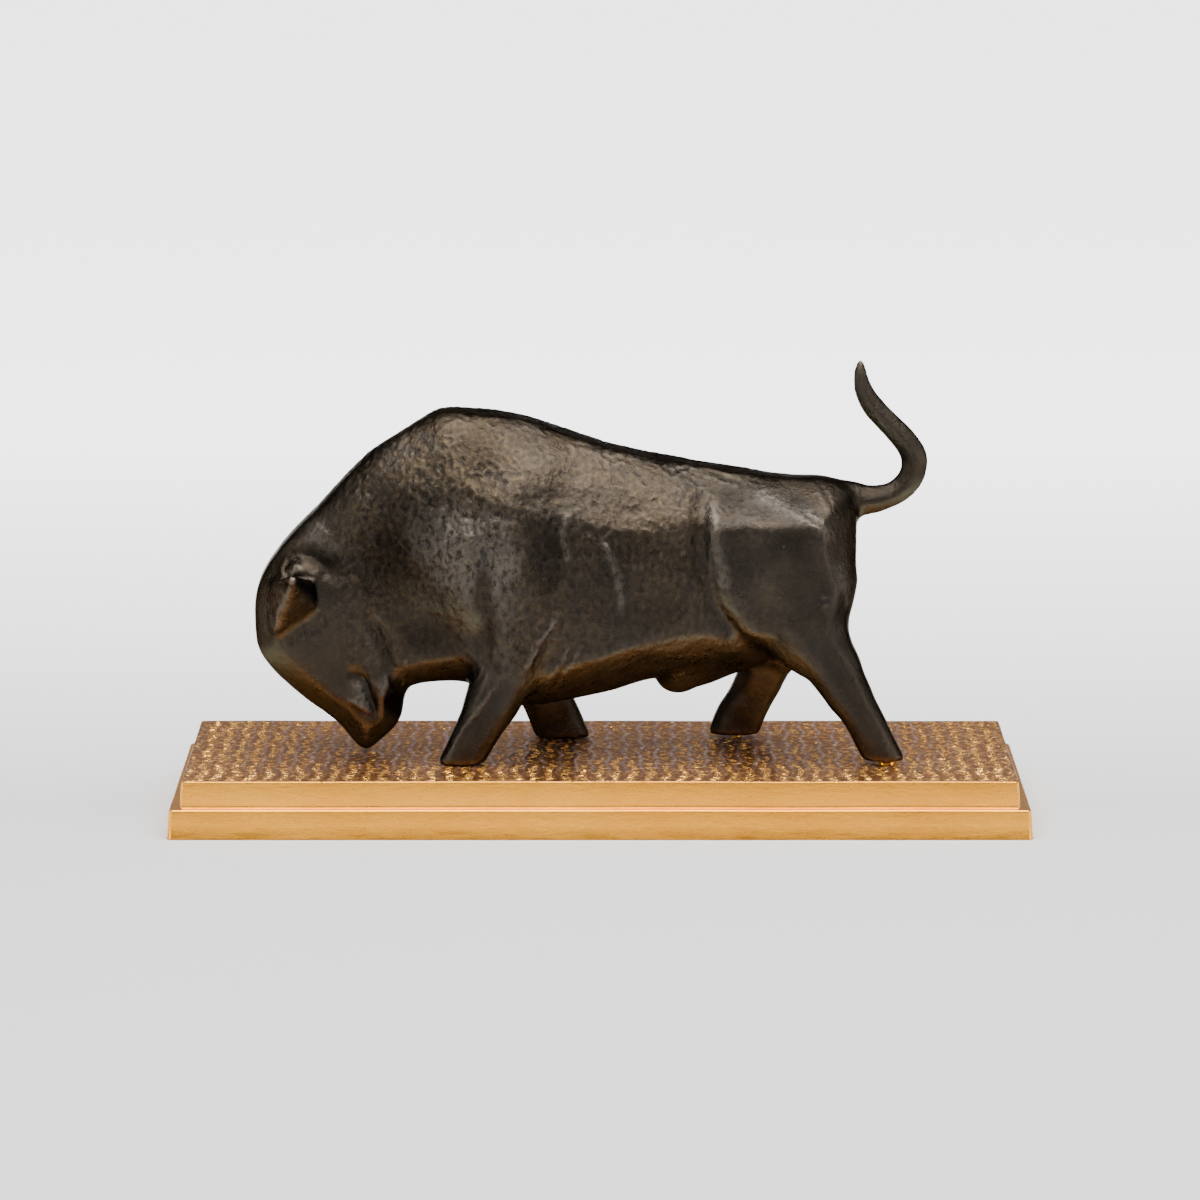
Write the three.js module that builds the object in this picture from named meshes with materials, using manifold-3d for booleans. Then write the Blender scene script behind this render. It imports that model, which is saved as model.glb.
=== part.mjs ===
// A bronze bull with its head lowered, standing on a stepped plinth of gold-toned metal.
// Millimetres, +Z up. The origin is the middle of the plinth's underside, +X runs from the bull's
// head to its tail, and -Y is the side that the bull shows to the viewer.
import * as THREE from 'three';
import { mergeVertices } from 'three/addons/utils/BufferGeometryUtils.js';
import Module from 'manifold-3d';

const wasm = await Module();
wasm.setup();

// Driving dimensions of the plinth
const plinth = {
  length: 311,
  depth: 120,
  lowerHeight: 10.8,
  upperHeight: 9.6,
  lowerDraft: 0.8, // how far each wall leans in from its foot to its top
  upperDraft: 0.8,
  ledge: 3.6, // width of the step between the two tiers
  cornerRadius: 2.5,
  cornerSegments: 5,
  bevelIn: 0.4, // the worn top edge of each tier: how far in it reaches
  bevelDown: 0.6, // and how far down
};

// Driving dimensions of the bull and of its seat on the plinth
const withersHeight = 126.8; // top of the hump above the soles of the forefeet
const bullOffset = [0, 0]; // the bull's own origin on the plinth, in X and Y
const seatGap = 0.3; // clearance under the forefeet
const hindLift = 1.3; // the hind soles stand this much higher than the fore soles
const peg = { radius: 3, segments: 16, sink: 1 }; // the stub that carries each hind hoof
const bullTriangles = 8800;
const cell = 1.5; // edge of the grid cells in which the bull's surface is found

// The bull's form is written in hundredths of its height at the withers: [x, z] in side view.
const unit = withersHeight / 100;

// The outline of head, neck and trunk, from the muzzle over the back and round below.
const trunkOutline = [
  // muzzle and face
  [-67.5, 0.6], [-70.1, 1.9], [-75.8, 8.8], [-84.8, 15.6], [-91.2, 21.2], [-95.6, 26.0],
  [-98.6, 31.2], [-99.4, 38.1], [-99.1, 46.4], [-97.5, 51.7], [-94.1, 57.4],
  // crest of the neck up to the hump
  [-88.6, 64.2], [-82.0, 70.8], [-74.4, 79.2], [-66.5, 87.0], [-57.3, 93.2], [-48.3, 98.5], [-44.8, 99.8],
  // back, loin and croup
  [-34.4, 99.3], [-23.3, 97.8], [-13.8, 95.0], [-4.2, 91.5], [10.5, 87.4], [25.7, 84.6], [42.8, 81.9],
  [56.3, 80.2], [66.1, 79.5],
  // rump and buttock
  [72.0, 76.0], [73.8, 69.0], [73.6, 61.8], [73.5, 55.8], [73.9, 51.1], [72.0, 42.9], [69.4, 36.6],
  // groin and belly
  [64.0, 31.0], [50.0, 28.0], [32.0, 24.6], [12.8, 21.5], [3.9, 18.6], [-8.1, 16.0], [-20.0, 14.2],
  // brisket and throat
  [-31.0, 15.4], [-36.6, 20.2], [-40.2, 21.2], [-50.1, 20.8], [-55.0, 19.4],
  // jaw and chin
  [-56.5, 16.5], [-57.2, 11.6], [-59.0, 7.9], [-64.7, 2.5],
];

// How thick the trunk is, and how its outline's edge is bevelled, at places on its side.
// half: half its thickness; flat: half the width of the flat strip along its outline;
// edge: how far in from the outline the bevel reaches; round: 1 for a flat bevel, 2 for a round one.
const trunkPlaces = [
  { name: 'muzzle', at: [-67, 8], half: 10.5, flat: 4, edge: 5.8, round: 1.06 },
  { name: 'nose', at: [-82, 18], half: 12.5, flat: 4.5, edge: 7.4, round: 1.06 },
  { name: 'cheek', at: [-78, 34], half: 15, flat: 5, edge: 8, round: 1.15 },
  { name: 'jaw', at: [-62, 24], half: 13.5, flat: 5, edge: 5.5, round: 1.15 },
  { name: 'forehead', at: [-93, 40], half: 13.5, flat: 6, edge: 8.5, round: 1.35 },
  { name: 'poll', at: [-88, 58], half: 15.5, flat: 6, edge: 12, round: 1.6 },
  { name: 'nape', at: [-74, 70], half: 18.5, flat: 4, edge: 17, round: 1.6 },
  { name: 'neck', at: [-62, 48], half: 18.5, flat: 4, edge: 16, round: 1.6 },
  { name: 'throat', at: [-47, 27], half: 18, flat: 6, edge: 9, round: 1.2 },
  { name: 'crest', at: [-54, 84], half: 20.5, flat: 3.5, edge: 22, round: 1.6 },
  { name: 'shoulder', at: [-28, 52], half: 26, flat: 5, edge: 20, round: 1.6 },
  { name: 'hump', at: [-28, 90], half: 24, flat: 6.5, edge: 23, round: 1.4 },
  { name: 'ribs', at: [0, 52], half: 25.5, flat: 6, edge: 20, round: 1.4 },
  { name: 'back', at: [8, 80], half: 23.5, flat: 6.5, edge: 20, round: 1.3 },
  { name: 'brisket', at: [-28, 22], half: 20, flat: 6, edge: 11, round: 1.3 },
  { name: 'belly', at: [5, 27], half: 24, flat: 6, edge: 12.5, round: 1.1 },
  { name: 'flank', at: [26, 50], half: 22.5, flat: 6, edge: 16, round: 1.3 },
  { name: 'loin', at: [38, 76], half: 21, flat: 6, edge: 14, round: 1.2 },
  { name: 'groin', at: [45, 32], half: 19.5, flat: 5, edge: 10, round: 1.15 },
  { name: 'hip', at: [56, 62], half: 24, flat: 6, edge: 13, round: 1.3 },
  { name: 'croup', at: [64, 74], half: 19, flat: 5, edge: 9.5, round: 1.12 },
  { name: 'buttock', at: [69, 48], half: 22.5, flat: 13, edge: 5, round: 1.12 },
];
const placeReach = 10; // how far each of those places is felt

// Ridges (height above 0) and grooves (below 0) carved along a path on each side of the trunk.
const carving = [
  { name: 'flank groove', width: 1.9, height: -2.4,
    path: [[29.3, 76], [28.2, 65.5], [28.5, 55], [32, 47], [38.5, 37], [46, 30]] },
  { name: 'front of the thigh', width: 2.8, height: 1.2,
    path: [[32.5, 72], [33.6, 62], [36.3, 52], [41, 43], [47, 36]] },
  { name: 'hollow behind the cheek', width: 6, height: -2.0,
    path: [[-76, 62], [-63, 52], [-53, 41]] },
  { name: 'hollow above the horn', width: 2.8, height: -2.0,
    path: [[-90, 61.5], [-83, 60.5], [-77, 56]] },
  { name: 'fold behind the horn', width: 1.3, height: 1.3,
    path: [[-93.5, 47.5], [-91, 53.5], [-86, 56.8], [-81, 55]] },
  { name: 'jaw line', width: 1.6, height: -1.5,
    path: [[-65.1, 40.1], [-61.4, 31.6], [-59.9, 25.5], [-56.8, 22.6]] },
  { name: 'upper lip', width: 2.5, height: 1.3,
    path: [[-73, 18.5], [-70.6, 17.5], [-67.2, 12.5]] },
  { name: 'mouth', width: 1.1, height: -1.9,
    path: [[-70.5, 24.7], [-68, 22.6], [-64.6, 12.6]] },
  { name: 'lower lip', width: 2.4, height: 1.2,
    path: [[-64.5, 21], [-61.8, 16.2]] },
  { name: 'shoulder blade', width: 4.5, height: 1.6,
    path: [[-15, 88], [-22, 76], [-22, 60], [-27, 37], [-34, 20]] },
  { name: 'fold before the shoulder', width: 1.8, height: -0.9,
    path: [[-33, 63], [-32.5, 48], [-32, 31]] },
];
const carvingReach = 4; // how many times its width a ridge or groove is felt

// Limbs, each a chain of stations down its middle, seen from the side. half: half its width in side
// view; y: its middle plane, outwards; thick: half its thickness; flat, edge and round as above.
// side: -1 for the near side; sole: height of its flat underside; blend: how softly it joins the trunk.
const noSole = -Infinity;
const limbs = [
  {
    name: 'near foreleg', side: -1, sole: 0, blend: 2.6, stations: [
      { at: [-21.5, 52], half: 15, y: 9, thick: 16, flat: 6, edge: 12, round: 1.5 },
      { at: [-23.5, 36], half: 12.5, y: 11.5, thick: 14, flat: 5, edge: 8, round: 1.35 },
      { at: [-29.3, 21], half: 8.2, y: 15.5, thick: 9.2, flat: 3.6, edge: 4, round: 1.12 },
      { at: [-35.1, 9.5], half: 6.4, y: 17.6, thick: 6.2, flat: 2.8, edge: 2.7, round: 1.08 },
      { at: [-40.6, -1], half: 5.8, y: 18.3, thick: 5.3, flat: 2.6, edge: 2.4, round: 1.08 },
      { at: [-44.9, -9], half: 5.5, y: 18.6, thick: 5.2, flat: 2.6, edge: 2.4, round: 1.08 },
    ],
  },
  {
    name: 'far foreleg', side: 1, sole: 0, blend: 2.6, stations: [
      { at: [-27, 46], half: 13.5, y: 9, thick: 16, flat: 6, edge: 12, round: 1.5 },
      { at: [-23.5, 28], half: 10, y: 13, thick: 11.5, flat: 5, edge: 7, round: 1.35 },
      { at: [-16.4, 13.5], half: 7.1, y: 17, thick: 7.2, flat: 3, edge: 3.4, round: 1.12 },
      { at: [-12.4, 4], half: 7.4, y: 19, thick: 5.6, flat: 2.6, edge: 2.6, round: 1.08 },
      { at: [-9.6, -3], half: 7.4, y: 19.4, thick: 5.4, flat: 2.6, edge: 2.6, round: 1.08 },
      { at: [-7.2, -9], half: 7.4, y: 19.6, thick: 5.4, flat: 2.6, edge: 2.6, round: 1.08 },
    ],
  },
  {
    name: 'near hind leg', side: -1, sole: hindLift / unit, blend: 2.4, stations: [
      { at: [53.5, 54], half: 17.5, y: 8, thick: 14, flat: 6, edge: 12, round: 1.4 },
      { at: [58.3, 39], half: 11.6, y: 11.5, thick: 12.6, flat: 5, edge: 8, round: 1.3 },
      { at: [66.3, 28.5], half: 7.9, y: 14.8, thick: 8.8, flat: 4, edge: 4, round: 1.12 },
      { at: [70.2, 21.5], half: 6.8, y: 16.4, thick: 7.2, flat: 3.2, edge: 3.2, round: 1.08 },
      { at: [74.9, 14], half: 5.6, y: 17.5, thick: 6.1, flat: 2.8, edge: 2.8, round: 1.08 },
      { at: [80.5, 3], half: 5.4, y: 18.2, thick: 5.5, flat: 2.6, edge: 2.6, round: 1.08 },
      { at: [85.2, -6], half: 5.3, y: 18.4, thick: 5.4, flat: 2.6, edge: 2.6, round: 1.08 },
    ],
  },
  {
    name: 'far hind leg', side: 1, sole: hindLift / unit, blend: 2.4, stations: [
      { at: [55, 52], half: 15.5, y: 8, thick: 14, flat: 6, edge: 12, round: 1.4 },
      { at: [50.6, 33], half: 10, y: 12, thick: 12, flat: 5, edge: 8, round: 1.3 },
      { at: [47.3, 19.5], half: 6.8, y: 16, thick: 7.6, flat: 3.2, edge: 3.4, round: 1.12 },
      { at: [44, 12], half: 6.4, y: 18, thick: 6.2, flat: 2.8, edge: 2.8, round: 1.08 },
      { at: [40.3, 4.5], half: 7, y: 19.2, thick: 5.4, flat: 2.6, edge: 2.6, round: 1.08 },
      { at: [39.2, -0.5], half: 7.5, y: 19.4, thick: 5.3, flat: 2.6, edge: 2.6, round: 1.08 },
      { at: [38.9, -7], half: 7.6, y: 19.6, thick: 5.3, flat: 2.6, edge: 2.6, round: 1.08 },
    ],
  },
  {
    name: 'tail', side: 1, sole: noSole, blend: 2.5, stations: [
      { at: [60, 72], half: 7.2, y: 0, thick: 8, flat: 2, edge: 7, round: 1.5 },
      { at: [71, 73.6], half: 5.4, y: 0, thick: 5.2, flat: 1.2, edge: 5.4, round: 1.3 },
      { at: [77.6, 73.4], half: 4.3, y: 0, thick: 4.2, flat: 1, edge: 4.4, round: 1.12 },
      { at: [83.6, 74.9], half: 3.6, y: 0, thick: 3.8, flat: 0.9, edge: 3.7, round: 1.1 },
      { at: [87.6, 77.5], half: 3.7, y: 0, thick: 3.7, flat: 0.9, edge: 3.7, round: 1.1 },
      { at: [90.2, 81.6], half: 3.8, y: 0, thick: 3.7, flat: 0.9, edge: 3.7, round: 1.1 },
      { at: [90.3, 86.0], half: 3.9, y: 0, thick: 3.7, flat: 0.9, edge: 3.7, round: 1.1 },
      { at: [88.0, 90.2], half: 3.7, y: 0, thick: 3.6, flat: 0.9, edge: 3.6, round: 1.1 },
      { at: [82.8, 95.9], half: 3.4, y: 0, thick: 3.4, flat: 0.9, edge: 3.5, round: 1.1 },
      { at: [78.5, 100.4], half: 3.4, y: 0, thick: 3.2, flat: 0.8, edge: 3.5, round: 1.1 },
      { at: [75.8, 105], half: 2.9, y: 0, thick: 3.0, flat: 0.7, edge: 3.1, round: 1.1 },
      { at: [74.7, 109.5], half: 2.2, y: 0, thick: 2.7, flat: 0.6, edge: 2.6, round: 1.1 },
      { at: [74.7, 113.2], half: 1.3, y: 0, thick: 2.2, flat: 0.5, edge: 2.2, round: 1.2 },
    ],
  },
  {
    name: 'sheath', side: 1, sole: noSole, blend: 1.4, stations: [
      { at: [20.4, 21.3], half: 3.9, y: 0, thick: 5.5, flat: 1.5, edge: 4.4, round: 1.08 },
      { at: [23.3, 24.4], half: 7.4, y: 0, thick: 9, flat: 1.5, edge: 7.2, round: 1.08 },
      { at: [30.6, 29.5], half: 9.6, y: 0, thick: 11.5, flat: 1.5, edge: 9, round: 1.08 },
      { at: [42.6, 34.1], half: 9.8, y: 0, thick: 12.5, flat: 1.5, edge: 9, round: 1.08 },
    ],
  },
];

// Each horn is a blunt spike: its facets all pass its tip, and each faces
// [along X, outwards, up].
const horn = {
  tip: [-87.3, 26.0, 53.4],
  tipRadius: 2.3,
  root: 12, // how far from the bull's middle plane it starts, inside the head
  soft: 1.4, // how far the edges between its facets are rounded
  blend: 1.2,
  facets: [
    { name: 'below', normal: [0.40, 0.62, -0.67] },
    { name: 'lower front', normal: [-0.66, 0.66, -0.36] },
    { name: 'front', normal: [-0.93, 0.36, -0.05] },
    { name: 'rear', normal: [0.94, 0.32, 0.11] },
    { name: 'above', normal: [0, -0.3, 0.95] },
  ],
};

const mix = (a, b, t) => a + (b - a) * t;
const clamp = (value, low, high) => Math.min(high, Math.max(low, value));

// The smaller of two signed distances, rounded where they meet.
function blended(a, b, reach) {
  const h = clamp(0.5 + (0.5 * (b - a)) / reach, 0, 1);
  return mix(b, a, h) - reach * h * (1 - h);
}

// The point of segment ab nearest to p, as a share along it and a distance.
function nearestOnSegment(p, a, b) {
  const dx = b[0] - a[0];
  const dz = b[1] - a[1];
  const t = clamp(((p[0] - a[0]) * dx + (p[1] - a[1]) * dz) / (dx * dx + dz * dz), 0, 1);
  const awayX = p[0] - a[0] - dx * t;
  const awayZ = p[1] - a[1] - dz * t;
  return { t, distance: Math.sqrt(awayX * awayX + awayZ * awayZ) };
}

// A smooth curve through points in side view, as a list of points.
function curvePoints(points, closed, perSpan) {
  const curve = new THREE.CatmullRomCurve3(
    points.map(([x, z]) => new THREE.Vector3(x, z, 0)), closed, 'centripetal');
  const spans = closed ? points.length : points.length - 1;
  const list = [];
  for (let i = 0; i <= spans * perSpan - (closed ? 1 : 0); i++) {
    const at = curve.getPoint(i / (spans * perSpan));
    list.push([at.x, at.y]);
  }
  return list;
}

// Signed depth of p inside a closed outline: positive inside.
function depthInside(p, outline) {
  let nearest = Infinity;
  let inside = false;
  for (let i = 0, j = outline.length - 1; i < outline.length; j = i++) {
    const a = outline[j];
    const b = outline[i];
    nearest = Math.min(nearest, nearestOnSegment(p, a, b).distance);
    if (a[1] > p[1] !== b[1] > p[1] && p[0] < a[0] + ((b[0] - a[0]) * (p[1] - a[1])) / (b[1] - a[1])) {
      inside = !inside;
    }
  }
  return inside ? nearest : -nearest;
}

const sectionKeys = ['thick', 'flat', 'edge', 'round'];

// The trunk's section at p in side view: its depth inside the outline and its thickness there.
const outlinePoints = curvePoints(trunkOutline, true, 3);
const leastWeight = 1e-9; // keeps the mean defined far from every place
function trunkSection(p) {
  const section = { depth: depthInside(p, outlinePoints), y: 0, thick: 0, flat: 0, edge: 0, round: 0 };
  let total = 0;
  for (const place of trunkPlaces) {
    const awayX = (p[0] - place.at[0]) / placeReach;
    const awayZ = (p[1] - place.at[1]) / placeReach;
    const weight = Math.exp(-0.5 * (awayX * awayX + awayZ * awayZ)) + leastWeight;
    section.thick += weight * place.half;
    section.flat += weight * place.flat;
    section.edge += weight * place.edge;
    section.round += weight * place.round;
    total += weight;
  }
  for (const key of sectionKeys) {
    section[key] /= total;
  }
  for (const { path, width, height } of carving) {
    let away = Infinity;
    for (let i = 1; i < path.length; i++) {
      away = Math.min(away, nearestOnSegment(p, path[i - 1], path[i]).distance);
    }
    if (away < carvingReach * width) {
      section.thick += height * Math.exp(-0.5 * (away / width) ** 2);
    }
  }
  return section;
}

// Adds stations between a limb's own, on smooth curves through its every value.
function refined(stations, perSpan) {
  const middle = curvePoints(stations.map((s) => s.at), false, perSpan);
  return middle.map((at, i) => {
    const from = Math.min(Math.floor(i / perSpan), stations.length - 2);
    const t = i / perSpan - from;
    const station = { at };
    for (const key of ['half', 'y', ...sectionKeys]) {
      station[key] = mix(stations[from][key], stations[from + 1][key], t * t * (3 - 2 * t));
    }
    return station;
  });
}

// A limb's section at p in side view, taken from the stretch that p lies deepest in.
function limbSection(p, chain, side) {
  let deepest = -Infinity;
  let best = null;
  for (let i = 1; i < chain.length; i++) {
    const { t, distance } = nearestOnSegment(p, chain[i - 1].at, chain[i].at);
    const depth = mix(chain[i - 1].half, chain[i].half, t) - distance;
    if (depth > deepest) {
      deepest = depth;
      best = { a: chain[i - 1], b: chain[i], t };
    }
  }
  const section = { depth: deepest, y: side * mix(best.a.y, best.b.y, best.t) };
  for (const key of sectionKeys) {
    section[key] = mix(best.a[key], best.b[key], best.t);
  }
  return section;
}

// Signed distance, negative inside, from a section's surface at y across it. Both limits below keep
// it finite at the section's core, where it has no slope.
const leastLevel = 0.05;
const leastSlope = 1e-3;
function acrossSection(section, y) {
  const { depth, thick, flat, edge, round } = section;
  const wide = thick - flat;
  const across = Math.max(0, Math.abs(y - section.y) - flat) / wide;
  const inward = Math.max(0, 1 - depth / edge);
  const level = Math.max(leastLevel, (across ** round + inward ** round) ** (1 / round));
  const slopeAcross = (across / level) ** (round - 1) / wide;
  const slopeInward = (inward / level) ** (round - 1) / edge;
  return (level - 1) / Math.max(Math.sqrt(slopeAcross ** 2 + slopeInward ** 2), leastSlope);
}

// Signed distance from the horn on the side of positive y.
function hornDistance(x, y, z) {
  const [dx, dy, dz] = [x - horn.tip[0], y - horn.tip[1], z - horn.tip[2]];
  let outer = -Infinity;
  for (const { normal } of horn.facets) {
    const ahead = normal[0] * dx + normal[1] * dy + normal[2] * dz;
    outer = outer === -Infinity ? ahead : -blended(-outer, -ahead, horn.soft);
  }
  return Math.max(outer - horn.tipRadius, horn.root - y);
}

// Each limb with its smooth chain of stations, and the box in side view outside which it isn't felt.
const blendReach = 3; // how many times its blend a limb is felt outside itself
const chains = limbs.map((limb) => {
  const box = new THREE.Box2();
  for (const { at, half } of limb.stations) {
    box.expandByPoint(new THREE.Vector2(at[0] - half, at[1] - half));
    box.expandByPoint(new THREE.Vector2(at[0] + half, at[1] + half));
  }
  return { ...limb, chain: refined(limb.stations, 4), box: box.expandByScalar(blendReach * limb.blend + 1) };
});

// The bull's signed distances along a whole line across it, at p in side view.
const hornReach = 26; // the horn is left out farther than this from its tip
function bullColumn(p, ys) {
  const trunk = trunkSection(p);
  const at = new THREE.Vector2(p[0], p[1]);
  const near = [];
  for (const limb of chains) {
    if (!limb.box.containsPoint(at)) continue;
    const section = limbSection(p, limb.chain, limb.side);
    if (section.depth > -blendReach * limb.blend) near.push({ ...limb, section });
  }
  const besideHorn = at.distanceTo(new THREE.Vector2(horn.tip[0], horn.tip[2])) < hornReach;
  return ys.map((y) => {
    let distance = acrossSection(trunk, y);
    for (const { section, sole, blend } of near) {
      distance = blended(distance, Math.max(acrossSection(section, y), sole - p[1]), blend);
    }
    if (besideHorn) distance = blended(distance, hornDistance(p[0], Math.abs(y), p[1]), horn.blend);
    return distance;
  });
}

// The bull's signed distance at a point on its surface, and the direction that faces out there.
const probe = 0.05;
function surfaceAt([x, y, z]) {
  const [below, distance, above] = bullColumn([x, z], [y - probe, y, y + probe]);
  const [behind] = bullColumn([x - probe, z], [y]);
  const [ahead] = bullColumn([x + probe, z], [y]);
  const [under] = bullColumn([x, z - probe], [y]);
  const [over] = bullColumn([x, z + probe], [y]);
  const rise = [ahead - behind, above - below, over - under];
  const length = Math.hypot(...rise) || 1;
  return { distance, normal: rise.map((part) => part / length) };
}

// The zero surface of values on a grid, found in the six tetrahedra of every cell.
const leastShare = 0.03; // how near a crossing may come to a grid point, as a share of the edge
function surfaceOfGrid(counts, pointAt, values) {
  const [nx, ny, nz] = counts;
  const index = (i, j, k) => (i * ny + j) * nz + k;
  const steps = [[0, 1, 2], [0, 2, 1], [1, 0, 2], [1, 2, 0], [2, 0, 1], [2, 1, 0]];
  const crossings = new Map();
  const positions = [];
  const triangles = [];
  function crossing(a, b) {
    const key = a < b ? a * values.length + b : b * values.length + a;
    if (!crossings.has(key)) {
      crossings.set(key, positions.length / 3);
      const t = clamp(values[a] / (values[a] - values[b]), leastShare, 1 - leastShare);
      const [pa, pb] = [pointAt(a), pointAt(b)];
      positions.push(mix(pa[0], pb[0], t), mix(pa[1], pb[1], t), mix(pa[2], pb[2], t));
    }
    return crossings.get(key);
  }
  // Adds the faces that cut off the inner corners of one tetrahedron.
  function cut(tetrahedron, mirrored) {
    const inner = tetrahedron.filter((n) => values[n] < 0);
    const outer = tetrahedron.filter((n) => values[n] >= 0);
    if (!inner.length || !outer.length) return;
    // Whether it is mirrored, and its corners are out of order, tells how its faces turn.
    const sorted = [...inner, ...outer].map((n) => tetrahedron.indexOf(n));
    let swaps = mirrored ? 1 : 0;
    for (let a = 0; a < 4; a++) {
      for (let b = a + 1; b < 4; b++) {
        swaps += sorted[a] > sorted[b] ? 1 : 0;
      }
    }
    const add = (a, b, c) => triangles.push(...(swaps % 2 ? [a, c, b] : [a, b, c]));
    if (inner.length === 1) {
      add(...outer.map((n) => crossing(inner[0], n)));
    } else if (inner.length === 3) {
      add(...inner.map((n) => crossing(n, outer[0])));
    } else {
      const a = crossing(inner[0], outer[0]);
      const b = crossing(inner[0], outer[1]);
      const c = crossing(inner[1], outer[1]);
      const d = crossing(inner[1], outer[0]);
      add(a, b, c);
      add(a, c, d);
    }
  }
  function cutCell(i, j, k) {
    const first = index(i, j, k);
    const inFirst = values[first] < 0;
    let mixed = false;
    for (let c = 1; c < 8; c++) {
      mixed ||= values[index(i + (c & 1), j + ((c >> 1) & 1), k + (c >> 2))] < 0 !== inFirst;
    }
    if (!mixed) return;
    for (const order of steps) {
      const corner = [i, j, k];
      const tetrahedron = [first];
      for (const axis of order) {
        corner[axis] += 1;
        tetrahedron.push(index(...corner));
      }
      cut(tetrahedron, (order[1] - order[0] + 3) % 3 === 2);
    }
  }
  for (let i = 0; i < nx - 1; i++) {
    for (let j = 0; j < ny - 1; j++) {
      for (let k = 0; k < nz - 1; k++) {
        cutCell(i, j, k);
      }
    }
  }
  return { positions, triangles };
}

// A heap of candidates, cheapest first.
class Heap {
  items = [];
  push(item) {
    const { items } = this;
    let i = items.push(item) - 1;
    while (i > 0) {
      const parent = (i - 1) >> 1;
      if (items[parent].cost <= item.cost) break;
      items[i] = items[parent];
      i = parent;
    }
    items[i] = item;
  }
  pop() {
    const { items } = this;
    const top = items[0];
    const last = items.pop();
    if (!items.length) return top;
    let i = 0;
    for (;;) {
      let child = 2 * i + 1;
      if (child >= items.length) break;
      if (child + 1 < items.length && items[child + 1].cost < items[child].cost) child += 1;
      if (items[child].cost >= last.cost) break;
      items[i] = items[child];
      i = child;
    }
    items[i] = last;
    return top;
  }
}

const minus = (a, b) => [a[0] - b[0], a[1] - b[1], a[2] - b[2]];
const dot = (a, b) => a[0] * b[0] + a[1] * b[1] + a[2] * b[2];
const cross = (a, b) => [a[1] * b[2] - a[2] * b[1], a[2] * b[0] - a[0] * b[2], a[0] * b[1] - a[1] * b[0]];
const faceNormal = (a, b, c) => cross(minus(b, a), minus(c, a));

// The sum of squared distances to a set of planes is a quadric of ten numbers.
function addPlane(quadric, [a, b, c], d, weight) {
  const plane = [a * a, a * b, a * c, a * d, b * b, b * c, b * d, c * c, c * d, d * d];
  plane.forEach((value, i) => {
    quadric[i] += value * weight;
  });
}
const quadricAt = (q, [x, y, z]) => q[0] * x * x + 2 * q[1] * x * y + 2 * q[2] * x * z + 2 * q[3] * x
  + q[4] * y * y + 2 * q[5] * y * z + 2 * q[6] * y + q[7] * z * z + 2 * q[8] * z + q[9];

// The point with the least quadric, drawn a little towards a middle point on flat stretches.
const leanShare = 1e-3;
function leastPoint(q, middle) {
  const lean = leanShare * (q[0] + q[4] + q[7]);
  const columns = [
    [q[0] + lean, q[1], q[2]], [q[1], q[4] + lean, q[5]], [q[2], q[5], q[7] + lean],
  ];
  const right = [lean * middle[0] - q[3], lean * middle[1] - q[6], lean * middle[2] - q[8]];
  const whole = dot(columns[0], cross(columns[1], columns[2]));
  return [
    dot(right, cross(columns[1], columns[2])) / whole,
    dot(columns[0], cross(right, columns[2])) / whole,
    dot(columns[0], cross(columns[1], right)) / whole,
  ];
}

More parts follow.
